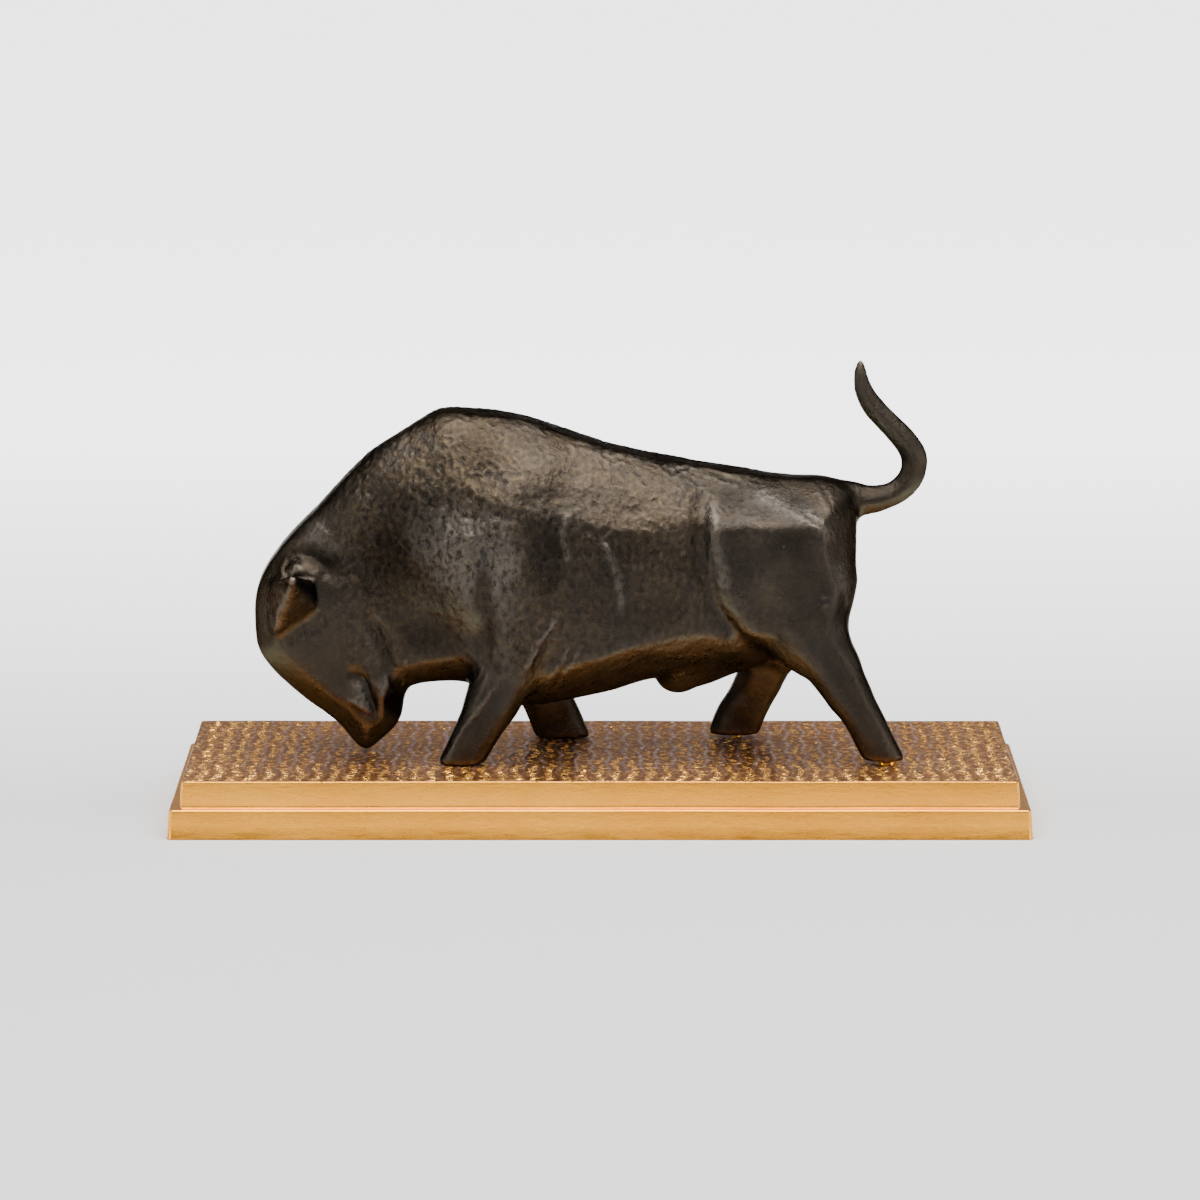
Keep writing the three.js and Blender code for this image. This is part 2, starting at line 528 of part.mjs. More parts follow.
// Sets the corners of a closed mesh onto the bull's true surface, then joins neighbouring corners
// where that changes the shape least, down to a number of triangles. The planes that touch the true
// surface pull the corners onto its edges, so that these stay crisp.
const farthestMove = 0.4;
const lengthCost = 2e-4; // prefers short edges where the surface is flat
const leastAgreement = 0.6; // cosine of the most that a face may turn in one step
const leastFacing = 0.3; // cosine of the most that a face may come to lean from the true surface
const leastBreadth = 0.04; // the least height over its longest side that a face may come to have
const shortestEdge = 0.15; // a shorter edge is always closed up
const leastHeight = 0.03; // a face lower than this over its longest side is closed up
function simplified({ positions, triangles }, wanted) {
  const points = [];
  const normals = [];
  for (let i = 0; i < positions.length; i += 3) {
    const point = positions.slice(i, i + 3);
    const { distance, normal } = surfaceAt(point);
    const onto = clamp(distance, -farthestMove, farthestMove);
    points.push(point.map((value, axis) => value - onto * normal[axis]));
    normals.push(normal);
  }
  const faces = [];
  for (let i = 0; i < triangles.length; i += 3) {
    faces.push(triangles.slice(i, i + 3));
  }
  const facesAt = points.map(() => []);
  const quadrics = points.map(() => new Float64Array(10));
  const version = new Uint32Array(points.length);
  faces.forEach((face, f) => {
    const area = Math.hypot(...faceNormal(...face.map((v) => points[v])));
    for (const v of face) {
      facesAt[v].push(f);
      for (const n of face) {
        addPlane(quadrics[v], normals[n], -dot(normals[n], points[n]), area);
      }
    }
  });
  const heap = new Heap();
  function consider(a, b) {
    const quadric = quadrics[a].map((value, i) => value + quadrics[b][i]);
    const middle = points[a].map((value, i) => (value + points[b][i]) / 2);
    const span = minus(points[a], points[b]);
    const length2 = dot(span, span);
    let place = leastPoint(quadric, middle);
    const moved = minus(place, middle);
    if (dot(moved, moved) > length2) place = middle;
    const cost = Math.max(0, quadricAt(quadric, place)) + lengthCost * length2 * length2;
    heap.push({ cost, a, b, place, versions: version[a] + version[b] });
  }
  function neighbours(v) {
    const found = new Set(facesAt[v].flatMap((f) => faces[f]));
    found.delete(v);
    return [...found];
  }
  // How well a face on some corners faces out, and how broad it is.
  function quality(face, corners) {
    const across = faceNormal(...corners);
    const size = Math.sqrt(dot(across, across)) || Number.MIN_VALUE;
    const longest2 = Math.max(...corners.map((corner, i) => {
      const along = minus(corner, corners[(i + 1) % 3]);
      return dot(along, along);
    }));
    const facing = face.reduce((sum, n) => sum + dot(across, normals[n]), 0) / (3 * size);
    return { across, size, facing, breadth: size / longest2 };
  }
  // Whether moving v to a place spoils a face that stays: turns it over, or makes it a sliver.
  function spoils(v, other, place) {
    return facesAt[v].some((f) => {
      const face = faces[f];
      if (face.includes(other)) return false;
      const before = quality(face, face.map((n) => points[n]));
      const after = quality(face, face.map((n) => (n === v ? place : points[n])));
      const turned = before.breadth > leastBreadth
        && dot(before.across, after.across) < leastAgreement * before.size * after.size;
      return turned || after.facing < Math.min(leastFacing, before.facing)
        || after.breadth < Math.min(leastBreadth, before.breadth);
    });
  }
  for (let v = 0; v < points.length; v++) {
    for (const n of neighbours(v)) {
      if (n > v) consider(v, n);
    }
  }
  let left = faces.length;
  // Joins b to a at a place, if that keeps the mesh closed and spoils no face.
  function join(a, b, place) {
    const around = neighbours(b);
    if (neighbours(a).filter((n) => around.includes(n)).length !== 2) return false;
    const span = minus(points[a], points[b]);
    const short = dot(span, span) < shortestEdge * shortestEdge;
    if (!short && (spoils(a, b, place) || spoils(b, a, place))) return false;
    for (const f of facesAt[b]) {
      if (faces[f].includes(a)) {
        for (const v of faces[f].filter((n) => n !== b)) {
          facesAt[v] = facesAt[v].filter((g) => g !== f);
        }
        faces[f] = null;
        left -= 1;
      } else {
        faces[f] = faces[f].map((v) => (v === b ? a : v));
        facesAt[a].push(f);
      }
    }
    facesAt[b] = [];
    points[a] = place;
    normals[a] = normals[a].map((value, axis) => (value + normals[b][axis]) / 2);
    quadrics[a] = quadrics[a].map((value, i) => value + quadrics[b][i]);
    version[a] += 1;
    version[b] += 1;
    return true;
  }
  while (left > wanted && heap.items.length) {
    const { a, b, place, versions } = heap.pop();
    if (versions !== version[a] + version[b] || !facesAt[a].length || !facesAt[b].length) continue;
    if (!join(a, b, place)) continue;
    for (const n of neighbours(a)) {
      consider(a, n);
    }
  }
  // Closes up the thin faces that are left, along one of their sides.
  for (let f = 0; f < faces.length; f++) {
    if (!faces[f]) continue;
    const { size, breadth } = quality(faces[f], faces[f].map((n) => points[n]));
    if (Math.sqrt(size * breadth) > leastHeight) continue;
    const sides = faces[f].map((a, i) => {
      const b = faces[f][(i + 1) % 3];
      const span = minus(points[a], points[b]);
      return { a, b, length: Math.sqrt(dot(span, span)) };
    });
    sides.sort((one, other) => one.length - other.length);
    sides.some(({ a, b }) => join(a, b, points[a]) || join(a, b, points[b]));
  }
  return { points, faces: faces.filter((face) => face) };
}

// A box that holds the whole bull, and how many grid cells the grid reaches beyond it.
const bullBox = { low: [-102, -29, 0], high: [96, 29, 116] };
const spareCells = 3;

// The bull, with its fore soles at z 0.
function bullGeometry() {
  const step = cell / unit;
  const low = bullBox.low.map((value) => value - spareCells * step);
  const high = bullBox.high.map((value) => value + spareCells * step);
  const counts = low.map((start, axis) => Math.ceil((high[axis] - start) / step) + 1);
  const [nx, ny, nz] = counts;
  const ys = Array.from({ length: ny }, (_, j) => low[1] + j * step);
  const values = new Float64Array(nx * ny * nz);
  for (let i = 0; i < nx; i++) {
    for (let k = 0; k < nz; k++) {
      const distances = bullColumn([low[0] + i * step, low[2] + k * step], ys);
      distances.forEach((distance, j) => {
        values[(i * ny + j) * nz + k] = distance;
      });
    }
  }
  const pointAt = (n) => [
    low[0] + Math.floor(n / (ny * nz)) * step,
    low[1] + (Math.floor(n / nz) % ny) * step,
    low[2] + (n % nz) * step,
  ];
  const { points, faces } = simplified(surfaceOfGrid(counts, pointAt, values), bullTriangles);
  const corners = faces.flatMap((face) => face.flatMap((v) => points[v].map((value) => value * unit)));
  const geometry = new THREE.BufferGeometry();
  geometry.setAttribute('position', new THREE.Float32BufferAttribute(corners, 3));
  geometry.computeVertexNormals();
  return geometry;
}

// A rectangle with rounded corners, half as long and deep as given, at height z.
function roundedRing(halfLength, halfDepth, z) {
  const { cornerRadius: r, cornerSegments: n } = plinth;
  const points = [];
  for (let corner = 0; corner < 4; corner++) {
    const centre = [(halfLength - r) * [1, -1, -1, 1][corner], (halfDepth - r) * [1, 1, -1, -1][corner]];
    for (let i = 0; i <= n; i++) {
      const angle = (Math.PI / 2) * (corner + i / n);
      points.push([centre[0] + r * Math.cos(angle), centre[1] + r * Math.sin(angle), z]);
    }
  }
  return points;
}

// A closed mesh through rings stacked upwards, with flat ends.
function stackedRings(rings) {
  const corners = [];
  const add = (...points) => corners.push(...points.flat());
  const middle = (ring) => [0, 0, ring[0][2]];
  const [bottom, top] = [rings[0], rings.at(-1)];
  for (let i = 0; i < bottom.length; i++) {
    const next = (i + 1) % bottom.length;
    add(middle(bottom), bottom[next], bottom[i]);
    add(middle(top), top[i], top[next]);
    for (let level = 1; level < rings.length; level++) {
      const [below, above] = [rings[level - 1], rings[level]];
      add(below[i], below[next], above[next]);
      add(below[i], above[next], above[i]);
    }
  }
  const geometry = new THREE.BufferGeometry();
  geometry.setAttribute('position', new THREE.Float32BufferAttribute(corners, 3));
  return geometry;
}

// A three.js geometry as a manifold-3d solid.
const weldDistance = 1e-4;
function solidOf(geometry) {
  const loose = geometry.index ? geometry.toNonIndexed() : geometry;
  const bare = new THREE.BufferGeometry();
  bare.setAttribute('position', loose.getAttribute('position'));
  const merged = mergeVertices(bare, weldDistance);
  return new wasm.Manifold(new wasm.Mesh({
    numProp: 3,
    vertProperties: merged.getAttribute('position').array,
    triVerts: new Uint32Array(merged.index.array),
  }));
}

// A manifold-3d solid as a three.js geometry.
function geometryOf(solid) {
  const { vertProperties, triVerts } = solid.getMesh();
  const geometry = new THREE.BufferGeometry();
  geometry.setAttribute('position', new THREE.BufferAttribute(new Float32Array(vertProperties), 3));
  geometry.setIndex(new THREE.BufferAttribute(new Uint32Array(triVerts), 1));
  geometry.computeVertexNormals();
  return geometry;
}

const plinthHeight = plinth.lowerHeight + plinth.upperHeight;

// The middle of a limb's sole, in millimetres on the plinth.
function soleCentre(name) {
  const { stations, side, sole } = limbs.find((limb) => limb.name === name);
  const above = stations.findLastIndex((s) => s.at[1] > sole);
  const [a, b] = [stations[above], stations[above + 1]];
  const t = (a.at[1] - sole) / (a.at[1] - b.at[1]);
  return [mix(a.at[0], b.at[0], t) * unit + bullOffset[0], mix(a.y, b.y, t) * side * unit + bullOffset[1]];
}

// The two-tier plinth, cast in one with the pegs that carry the hind hooves.
function plinthGeometry() {
  const { length, depth, lowerHeight, lowerDraft, upperDraft, ledge, bevelIn, bevelDown } = plinth;
  const ring = (inset, z) => roundedRing(length / 2 - inset, depth / 2 - inset, z);
  const upperFoot = lowerDraft + bevelIn + ledge;
  const block = stackedRings([
    ring(0, 0),
    ring(lowerDraft, lowerHeight - bevelDown),
    ring(lowerDraft + bevelIn, lowerHeight),
    ring(upperFoot, lowerHeight),
    ring(upperFoot + upperDraft, plinthHeight - bevelDown),
    ring(upperFoot + upperDraft + bevelIn, plinthHeight),
  ]);
  let solid = solidOf(block);
  for (const leg of ['near hind leg', 'far hind leg']) {
    const stub = new THREE.CylinderGeometry(peg.radius, peg.radius, hindLift + peg.sink, peg.segments);
    const [x, y] = soleCentre(leg);
    stub.rotateX(Math.PI / 2).translate(x, y, plinthHeight + (hindLift - peg.sink) / 2);
    solid = solid.add(solidOf(stub));
  }
  return geometryOf(solid);
}

const bronze = new THREE.MeshStandardMaterial({ color: 0x2b231d, roughness: 0.38, metalness: 0.85 });
const goldTone = new THREE.MeshStandardMaterial({ color: 0xd8a259, roughness: 0.35, metalness: 1.0 });

const sculpture = new THREE.Group();
sculpture.name = 'bull_sculpture';

const plinthMesh = new THREE.Mesh(plinthGeometry(), goldTone);
plinthMesh.name = 'plinth';
sculpture.add(plinthMesh);

const bullMesh = new THREE.Mesh(bullGeometry(), bronze);
bullMesh.name = 'bull';
bullMesh.position.set(bullOffset[0], bullOffset[1], plinthHeight + seatGap);
sculpture.add(bullMesh);

export default sculpture;
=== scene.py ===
"""A dark bronze bull with its head lowered, on a two-tier plinth of antique gold with a chiselled top.

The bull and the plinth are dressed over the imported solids: each gets a finer mesh of the same form, with
its casting texture, cuts and chisel marks, and a procedural finish. Lengths are in metres, +Z is up, +X runs
from the bull's head to its tail, and -Y is the side that faces the camera.
"""

import logging
import math
from dataclasses import dataclass, field
from enum import Enum

import bpy
import numpy as np
from bpy.types import Material, Mesh, Node, NodeSocket, Object
from mathutils import Matrix, Vector, noise

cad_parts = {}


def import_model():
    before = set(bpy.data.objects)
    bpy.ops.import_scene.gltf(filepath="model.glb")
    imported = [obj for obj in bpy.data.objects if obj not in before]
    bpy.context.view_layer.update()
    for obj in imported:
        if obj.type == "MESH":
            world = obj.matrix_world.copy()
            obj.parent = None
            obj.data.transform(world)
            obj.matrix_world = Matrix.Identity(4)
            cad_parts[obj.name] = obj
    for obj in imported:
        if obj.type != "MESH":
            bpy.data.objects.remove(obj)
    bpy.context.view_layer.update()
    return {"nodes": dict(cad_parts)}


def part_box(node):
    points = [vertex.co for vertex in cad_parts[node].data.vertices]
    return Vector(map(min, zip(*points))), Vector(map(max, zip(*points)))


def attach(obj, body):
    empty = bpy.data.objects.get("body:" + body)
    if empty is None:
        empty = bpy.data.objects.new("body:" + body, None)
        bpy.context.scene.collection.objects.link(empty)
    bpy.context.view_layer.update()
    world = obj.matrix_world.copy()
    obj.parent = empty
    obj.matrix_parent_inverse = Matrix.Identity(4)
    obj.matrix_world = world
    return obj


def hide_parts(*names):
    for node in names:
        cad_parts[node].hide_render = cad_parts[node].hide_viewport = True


LOG = logging.getLogger("bull_sculpture")
MM = 0.001

Colour = tuple[float, float, float]
Point = tuple[float, float]
Place = tuple[float, float, float]
Array = np.ndarray
ROUND = (1.0, 1.0, 1.0)
WHITE = (1.0, 1.0, 1.0)


class Blend(Enum):
    """How two colours are mixed."""

    MIX = "MIX"
    MULTIPLY = "MULTIPLY"


class Sum(Enum):
    """The sums that a finish makes."""

    ADD = "ADD"
    SUBTRACT = "SUBTRACT"
    TIMES = "MULTIPLY"
    LARGER = "MAXIMUM"
    SMALLER = "MINIMUM"


def straight(colour: Colour) -> tuple[float, ...]:
    """Gives a colour as a shader socket wants it."""
    return (*colour, 1.0)


def placed(name: str, data: bpy.types.ID) -> Object:
    """Makes an object of a mesh, light or camera and adds it to the scene."""
    new = bpy.data.objects.new(name, data)
    bpy.context.scene.collection.objects.link(new)
    return new


def add_mask(mesh: Mesh, name: str, values: Array) -> None:
    """Keeps a mask on a mesh for its finish to read, one value from 0 to 1 for each point."""
    mask = mesh.attributes.new(name, "FLOAT", "POINT")
    mask.data.foreach_set("value", np.clip(values, 0.0, 1.0).astype(np.float32))


def smooth_step(low: float, high: float, values: Array) -> Array:
    """Rises smoothly from 0 at low to 1 at high.

    Args:
        low: the value below which the result is 0.
        high: the value above which the result is 1.
        values: the values to map.

    Returns:
        An array of the same shape.
    """
    share = np.clip((values - low) / (high - low), 0.0, 1.0)
    return share * share * (3.0 - 2.0 * share)


def noise_at(points: Array, size: float, seed: float, stretch: Place = ROUND) -> Array:
    """Evaluates gradient noise at many points.

    Args:
        points: an array of points, n by 3, in metres.
        size: the size of the noise's features, in metres.
        seed: an offset that gives another pattern.
        stretch: how many times longer the features are along X, Y and Z.

    Returns:
        One value from about -1 to 1 for each point.
    """
    scaled = points / (size * np.array(stretch)) + seed
    return np.array([noise.noise(Vector(p)) for p in scaled])


def distance_to_path(x: Array, z: Array, path: list[Point]) -> tuple[Array, Array]:
    """Measures points in side view against a path.

    Args:
        x: the points' places along the bull, in millimetres.
        z: their heights, in millimetres.
        path: the path's corners, in millimetres.

    Returns:
        The distance of each point to the path, in millimetres, and how far along it the point lies, 0 to 1.
    """
    nearest = np.full(x.shape, np.inf)
    along = np.zeros(x.shape)
    for i, ((ax, az), (bx, bz)) in enumerate(zip(path[:-1], path[1:])):
        dx, dz = bx - ax, bz - az
        share = np.clip(((x - ax) * dx + (z - az) * dz) / (dx * dx + dz * dz), 0.0, 1.0)
        away = np.hypot(x - ax - share * dx, z - az - share * dz)
        closer = away < nearest
        nearest = np.where(closer, away, nearest)
        along = np.where(closer, (i + share) / (len(path) - 1), along)
    return nearest, along


def zones_at(x: Array, z: Array, zones: tuple[tuple[float, ...], ...]) -> Array:
    """Adds up soft zones in side view.

    Args:
        x: the points' places along the bull, in millimetres.
        z: their heights, in millimetres.
        zones: for each its middle's x and z, its reach along X and Z, and what it adds there.

    Returns:
        The sum at each point.
    """
    total = np.zeros(x.shape)
    for at_x, at_z, reach_x, reach_z, more in zones:
        total += more * np.exp(-(((x - at_x) / reach_x) ** 2) - ((z - at_z) / reach_z) ** 2)
    return total


def vectors(source: bpy.types.bpy_prop_collection, name: str) -> Array:
    """Reads a vector of each point of a mesh as an n by 3 array."""
    values = np.empty(len(source) * 3)
    source.foreach_get(name, values)
    return values.reshape(-1, 3)


def move_points(mesh: Mesh, points: Array) -> None:
    """Puts a mesh's points at the places of an n by 3 array, in metres."""
    mesh.vertices.foreach_set("co", points.ravel())
    mesh.update()


def bake(thing: Object) -> None:
    """Turns an object's modifiers into a new mesh of its own."""
    ready = thing.evaluated_get(bpy.context.evaluated_depsgraph_get())
    mesh = bpy.data.meshes.new_from_object(ready)
    mesh.name = thing.name
    thing.modifiers.clear()
    thing.data = mesh


def shade_smooth(mesh: Mesh) -> None:
    """Makes a mesh's faces shade smoothly."""
    mesh.polygons.foreach_set("use_smooth", [True] * len(mesh.polygons))


class NodeTree:
    """Short calls for building a tree of shader nodes."""

    def __init__(self, tree: bpy.types.NodeTree) -> None:
        """Keeps the tree that the calls add to."""
        self.tree = tree

    def add(self, kind: str, **inputs: object) -> Node:
        """Adds a node and sets or links its inputs.

        Args:
            kind: the node's Blender type.
            **inputs: for each socket, named with _ for a space, a value or another node's output.

        Returns:
            The node.
        """
        node = self.tree.nodes.new(kind)
        for name, value in inputs.items():
            self.feed(node, name.replace("_", " "), value)
        return node

    def feed(self, node: Node, socket: str | int, value: object) -> None:
        """Sets an input to a value, or links it where the value is an output."""
        target = node.inputs[socket]
        if isinstance(value, NodeSocket):
            self.tree.links.new(value, target)
        else:
            target.default_value = value

    def maths(self, kind: Sum, *values: object) -> NodeSocket:
        """Adds a Math node and returns its output."""
        node = self.tree.nodes.new("ShaderNodeMath")
        node.operation = kind.value
        for i, value in enumerate(values):
            self.feed(node, i, value)
        return node.outputs[0]

    def times(self, *values: object) -> NodeSocket:
        """Multiplies two values and returns the product."""
        return self.maths(Sum.TIMES, *values)

    def mixed(self, factor: object, first: object, second: object, blend: Blend = Blend.MIX) -> NodeSocket:
        """Mixes two colours and returns the result.

        Args:
            factor: the share of the second colour, a number or an output.
            first: the first colour.
            second: the second colour.
            blend: how they are mixed.

        Returns:
            The colour output.
        """
        node = self.tree.nodes.new("ShaderNodeMix")
        node.data_type = "RGBA"
        node.blend_type = blend.value
        self.feed(node, 0, factor)
        self.feed(node, 6, first)
        self.feed(node, 7, second)
        return node.outputs[2]

    def mapped(
        self, value: object, low: float, high: float, to_low: float = 0.0, to_high: float = 1.0
    ) -> NodeSocket:
        """Maps one range onto another, clamped.

        Args:
            value: the output to map.
            low: the start of its range.
            high: the end of its range.
            to_low: what low becomes.
            to_high: what high becomes.

        Returns:
            The mapped value's output.
        """
        node = self.tree.nodes.new("ShaderNodeMapRange")
        self.feed(node, 0, value)
        for i, number in enumerate((low, high, to_low, to_high), 1):
            self.feed(node, i, number)
        return node.outputs[0]

    def noise(self, vector: object, scale: object, detail: float, roughness: float = 0.5) -> NodeSocket:
        """Adds a noise texture and returns its value."""
        node = self.add("ShaderNodeTexNoise", Vector=vector, Scale=scale, Detail=detail, Roughness=roughness)
        return node.outputs[0]

    def place(self) -> NodeSocket:
        """Reads the place on the object, in metres."""
        return self.tree.nodes.new("ShaderNodeTexCoord").outputs["Object"]

    def attribute(self, name: str) -> NodeSocket:
        """Reads a mask that the mesh keeps under a name."""
        node = self.tree.nodes.new("ShaderNodeAttribute")
        node.attribute_name = name
        return node.outputs["Fac"]

    def stretched(self, vector: object, scale: Place) -> NodeSocket:
        """Scales a place along X, Y and Z and returns it."""
        return self.add("ShaderNodeMapping", Vector=vector, Scale=scale).outputs[0]


class CastSurface:
    """The shader group that both castings share: cast grain, soft stains and worn edges."""

    NAME = "cast_surface"
    EDGE_GAIN = 40.0
    HOLLOW_GAIN = 20.0

    def __init__(self) -> None:
        """Builds the group once."""
        group = bpy.data.node_groups.new(self.NAME, "ShaderNodeTree")
        self.group = group
        face = group.interface
        for name, value in (("Grain Size", 900.0), ("Stain Size", 40.0), ("Edge Reach", 0.5)):
            face.new_socket(name, in_out="INPUT", socket_type="NodeSocketFloat").default_value = value
        for name in ("Grain", "Stain", "Edge", "Hollow"):
            face.new_socket(name, in_out="OUTPUT", socket_type="NodeSocketFloat")
        tree = NodeTree(group)
        inside = group.nodes.new("NodeGroupInput")
        outside = group.nodes.new("NodeGroupOutput")
        place = tree.place()
        grain = tree.noise(place, inside.outputs[0], 4.0, 0.6)
        stain = tree.noise(place, inside.outputs[1], 5.0, 0.62)
        bent = tree.add("ShaderNodeNewGeometry").outputs["Pointiness"]
        off_flat = tree.maths(Sum.SUBTRACT, bent, 0.5)
        raised = tree.maths(Sum.LARGER, off_flat, 0.0)
        sunk = tree.maths(Sum.LARGER, tree.times(off_flat, -1.0), 0.0)
        edge = tree.times(raised, tree.times(inside.outputs[2], self.EDGE_GAIN))
        hollow = tree.times(sunk, self.HOLLOW_GAIN)
        tree.feed(outside, 0, grain)
        tree.feed(outside, 1, tree.mapped(stain, 0.35, 0.65))
        tree.feed(outside, 2, tree.maths(Sum.SMALLER, edge, 1.0))
        tree.feed(outside, 3, tree.maths(Sum.SMALLER, hollow, 1.0))

    def place_in(self, tree: NodeTree, grain: float, stain: float, edge: float) -> Node:
        """Places the group in a material.

        Args:
            tree: the material's tree.
            grain: the grain's scale.
            stain: the stains' scale.
            edge: how strongly worn edges are marked.

        Returns:
            The group's node.
        """
        node = tree.tree.nodes.new("ShaderNodeGroup")
        node.node_tree = self.group
        for i, value in enumerate((grain, stain, edge)):
            tree.feed(node, i, value)
        return node


def new_material(name: str) -> tuple[Material, NodeTree, Node]:
    """Makes a material with an empty Principled shader.

    Args:
        name: the material's name.

    Returns:
        The material, its tree and its Principled node.
    """
    material = bpy.data.materials.new(name)
    material.use_nodes = True
    tree = NodeTree(material.node_tree)
    return material, tree, material.node_tree.nodes["Principled BSDF"]


@dataclass(frozen=True)
class BronzePatina:
    """Dark brown-black patina with warm brown and olive tints, satin, waxed.

    A number with a pattern's name is the scale of its noise. Heights are in metres.
    """

    dark: Colour = (0.026, 0.0222, 0.019)
    brown: Colour = (0.037, 0.028, 0.019)
    golden: Colour = (0.07, 0.048, 0.024)
    worn: Colour = (0.095, 0.076, 0.056)
    # rubbed wear on raised spots, lightened further as a painted highlight
    rubbed_sheen: Colour = (0.1, 0.09, 0.079)
    # painted reflection: the lighter, warmer colour of surfaces that face down, as if lit by the gold plinth
    # below
    painted_plinth_reflection: Colour = (0.118, 0.112, 0.074)
    # the wrinkles' dark patina, deepened with painted shade
    wrinkle_patina_and_shade: Colour = (0.0085, 0.0068, 0.0055)
    grazing: Colour = (0.28, 0.26, 0.24)
    roughness: tuple[float, float] = (0.24, 0.38)
    grain: float = 1400.0
    stain: float = 30.0
    edge_wear: float = 0.35
    fleck: float = 480.0
    fleck_zone: float = 26.0
    wrinkle: float = 560.0
    patch: float = 130.0
    # how far the painted light and shade darkens or lightens the patina, least and most
    painted_light_shade: tuple[float, float] = (0.15, 1.85)
    skin_height: float = 0.0008
    skin_strength: float = 0.6

    def material(self, surface: CastSurface) -> Material:
        """Builds the material.

        Args:
            surface: the shared group of cast effects.

        Returns:
            The material.
        """
        material, tree, shader = new_material("dark_bronze_patina")
        cast = surface.place_in(tree, self.grain, self.stain, self.edge_wear)
        place = tree.place()
        tinted = tree.mixed(cast.outputs["Stain"], straight(self.dark), straight(self.brown))
        skin = tree.attribute("skin")
        flecks = tree.mapped(tree.noise(place, self.fleck, 4.0, 0.65), 0.48, 0.64, 0.0, 0.55)
        zone = tree.mapped(tree.noise(place, self.fleck_zone, 3.0), 0.42, 0.58)
        flecks = tree.times(tree.times(flecks, zone), tree.mapped(skin, 0.15, 0.7, 0.3, 1.0))
        tinted = tree.mixed(flecks, tinted, straight(self.golden))
        # painted reflection: the more a surface faces down, the more it takes the plinth's reflected gold
        # light
        painted_underside_reflection = tree.times(tree.attribute("painted_underside_reflection"), 0.85)
        tinted = tree.mixed(painted_underside_reflection, tinted, straight(self.painted_plinth_reflection))
        fine = tree.noise(tree.stretched(place, (1.0, 1.0, 0.7)), self.wrinkle, 5.0, 0.66)
        # dark patina in the skin's wrinkles, deepened by painted shade so the creases read without light
        wrinkle_darkening = tree.mapped(fine, 0.36, 0.52, 0.8, 0.0)
        wrinkle_darkening = tree.times(wrinkle_darkening, tree.mapped(skin, 0.3, 1.0, 0.12, 1.0))
        tinted = tree.mixed(wrinkle_darkening, tinted, straight(self.wrinkle_patina_and_shade))
        # rubbed wear on the cuts' raised parts and the muzzle's planes, partly a painted highlight where
        # light would glint
        high = tree.times(tree.attribute("wear_and_sheen"), tree.mapped(fine, 0.4, 0.54, 0.1, 1.0))
        tinted = tree.mixed(high, tinted, straight(self.rubbed_sheen))
        tinted = tree.mixed(cast.outputs["Edge"], tinted, straight(self.worn))
        tinted = tree.mixed(cast.outputs["Hollow"], tinted, straight(self.dark))
        # painted light and shade: the patina made darker where the bull lies in shade, as in the neck hollow,
        # and lighter where light falls, as on the hump
        painted_light_shade = tree.mapped(tree.attribute("painted_light_shade"), 0.0, 1.0, *self.painted_light_shade)
        tree.feed(shader, "Base Color", tree.mixed(1.0, tinted, painted_light_shade, Blend.MULTIPLY))
        tree.feed(shader, "Metallic", 1.0)
        tree.feed(shader, "Specular Tint", straight(self.grazing))
        patchy = tree.noise(place, self.patch, 4.0, 0.6)
        tree.feed(shader, "Roughness", tree.mapped(patchy, 0.3, 0.7, *self.roughness))
        height = tree.maths(Sum.ADD, tree.times(fine, 0.75), tree.times(cast.outputs["Grain"], 0.25))
        bump = tree.add(
            "ShaderNodeBump", Strength=self.skin_strength, Distance=self.skin_height, Height=height
        )
        tree.feed(shader, "Normal", bump.outputs[0])
        return material


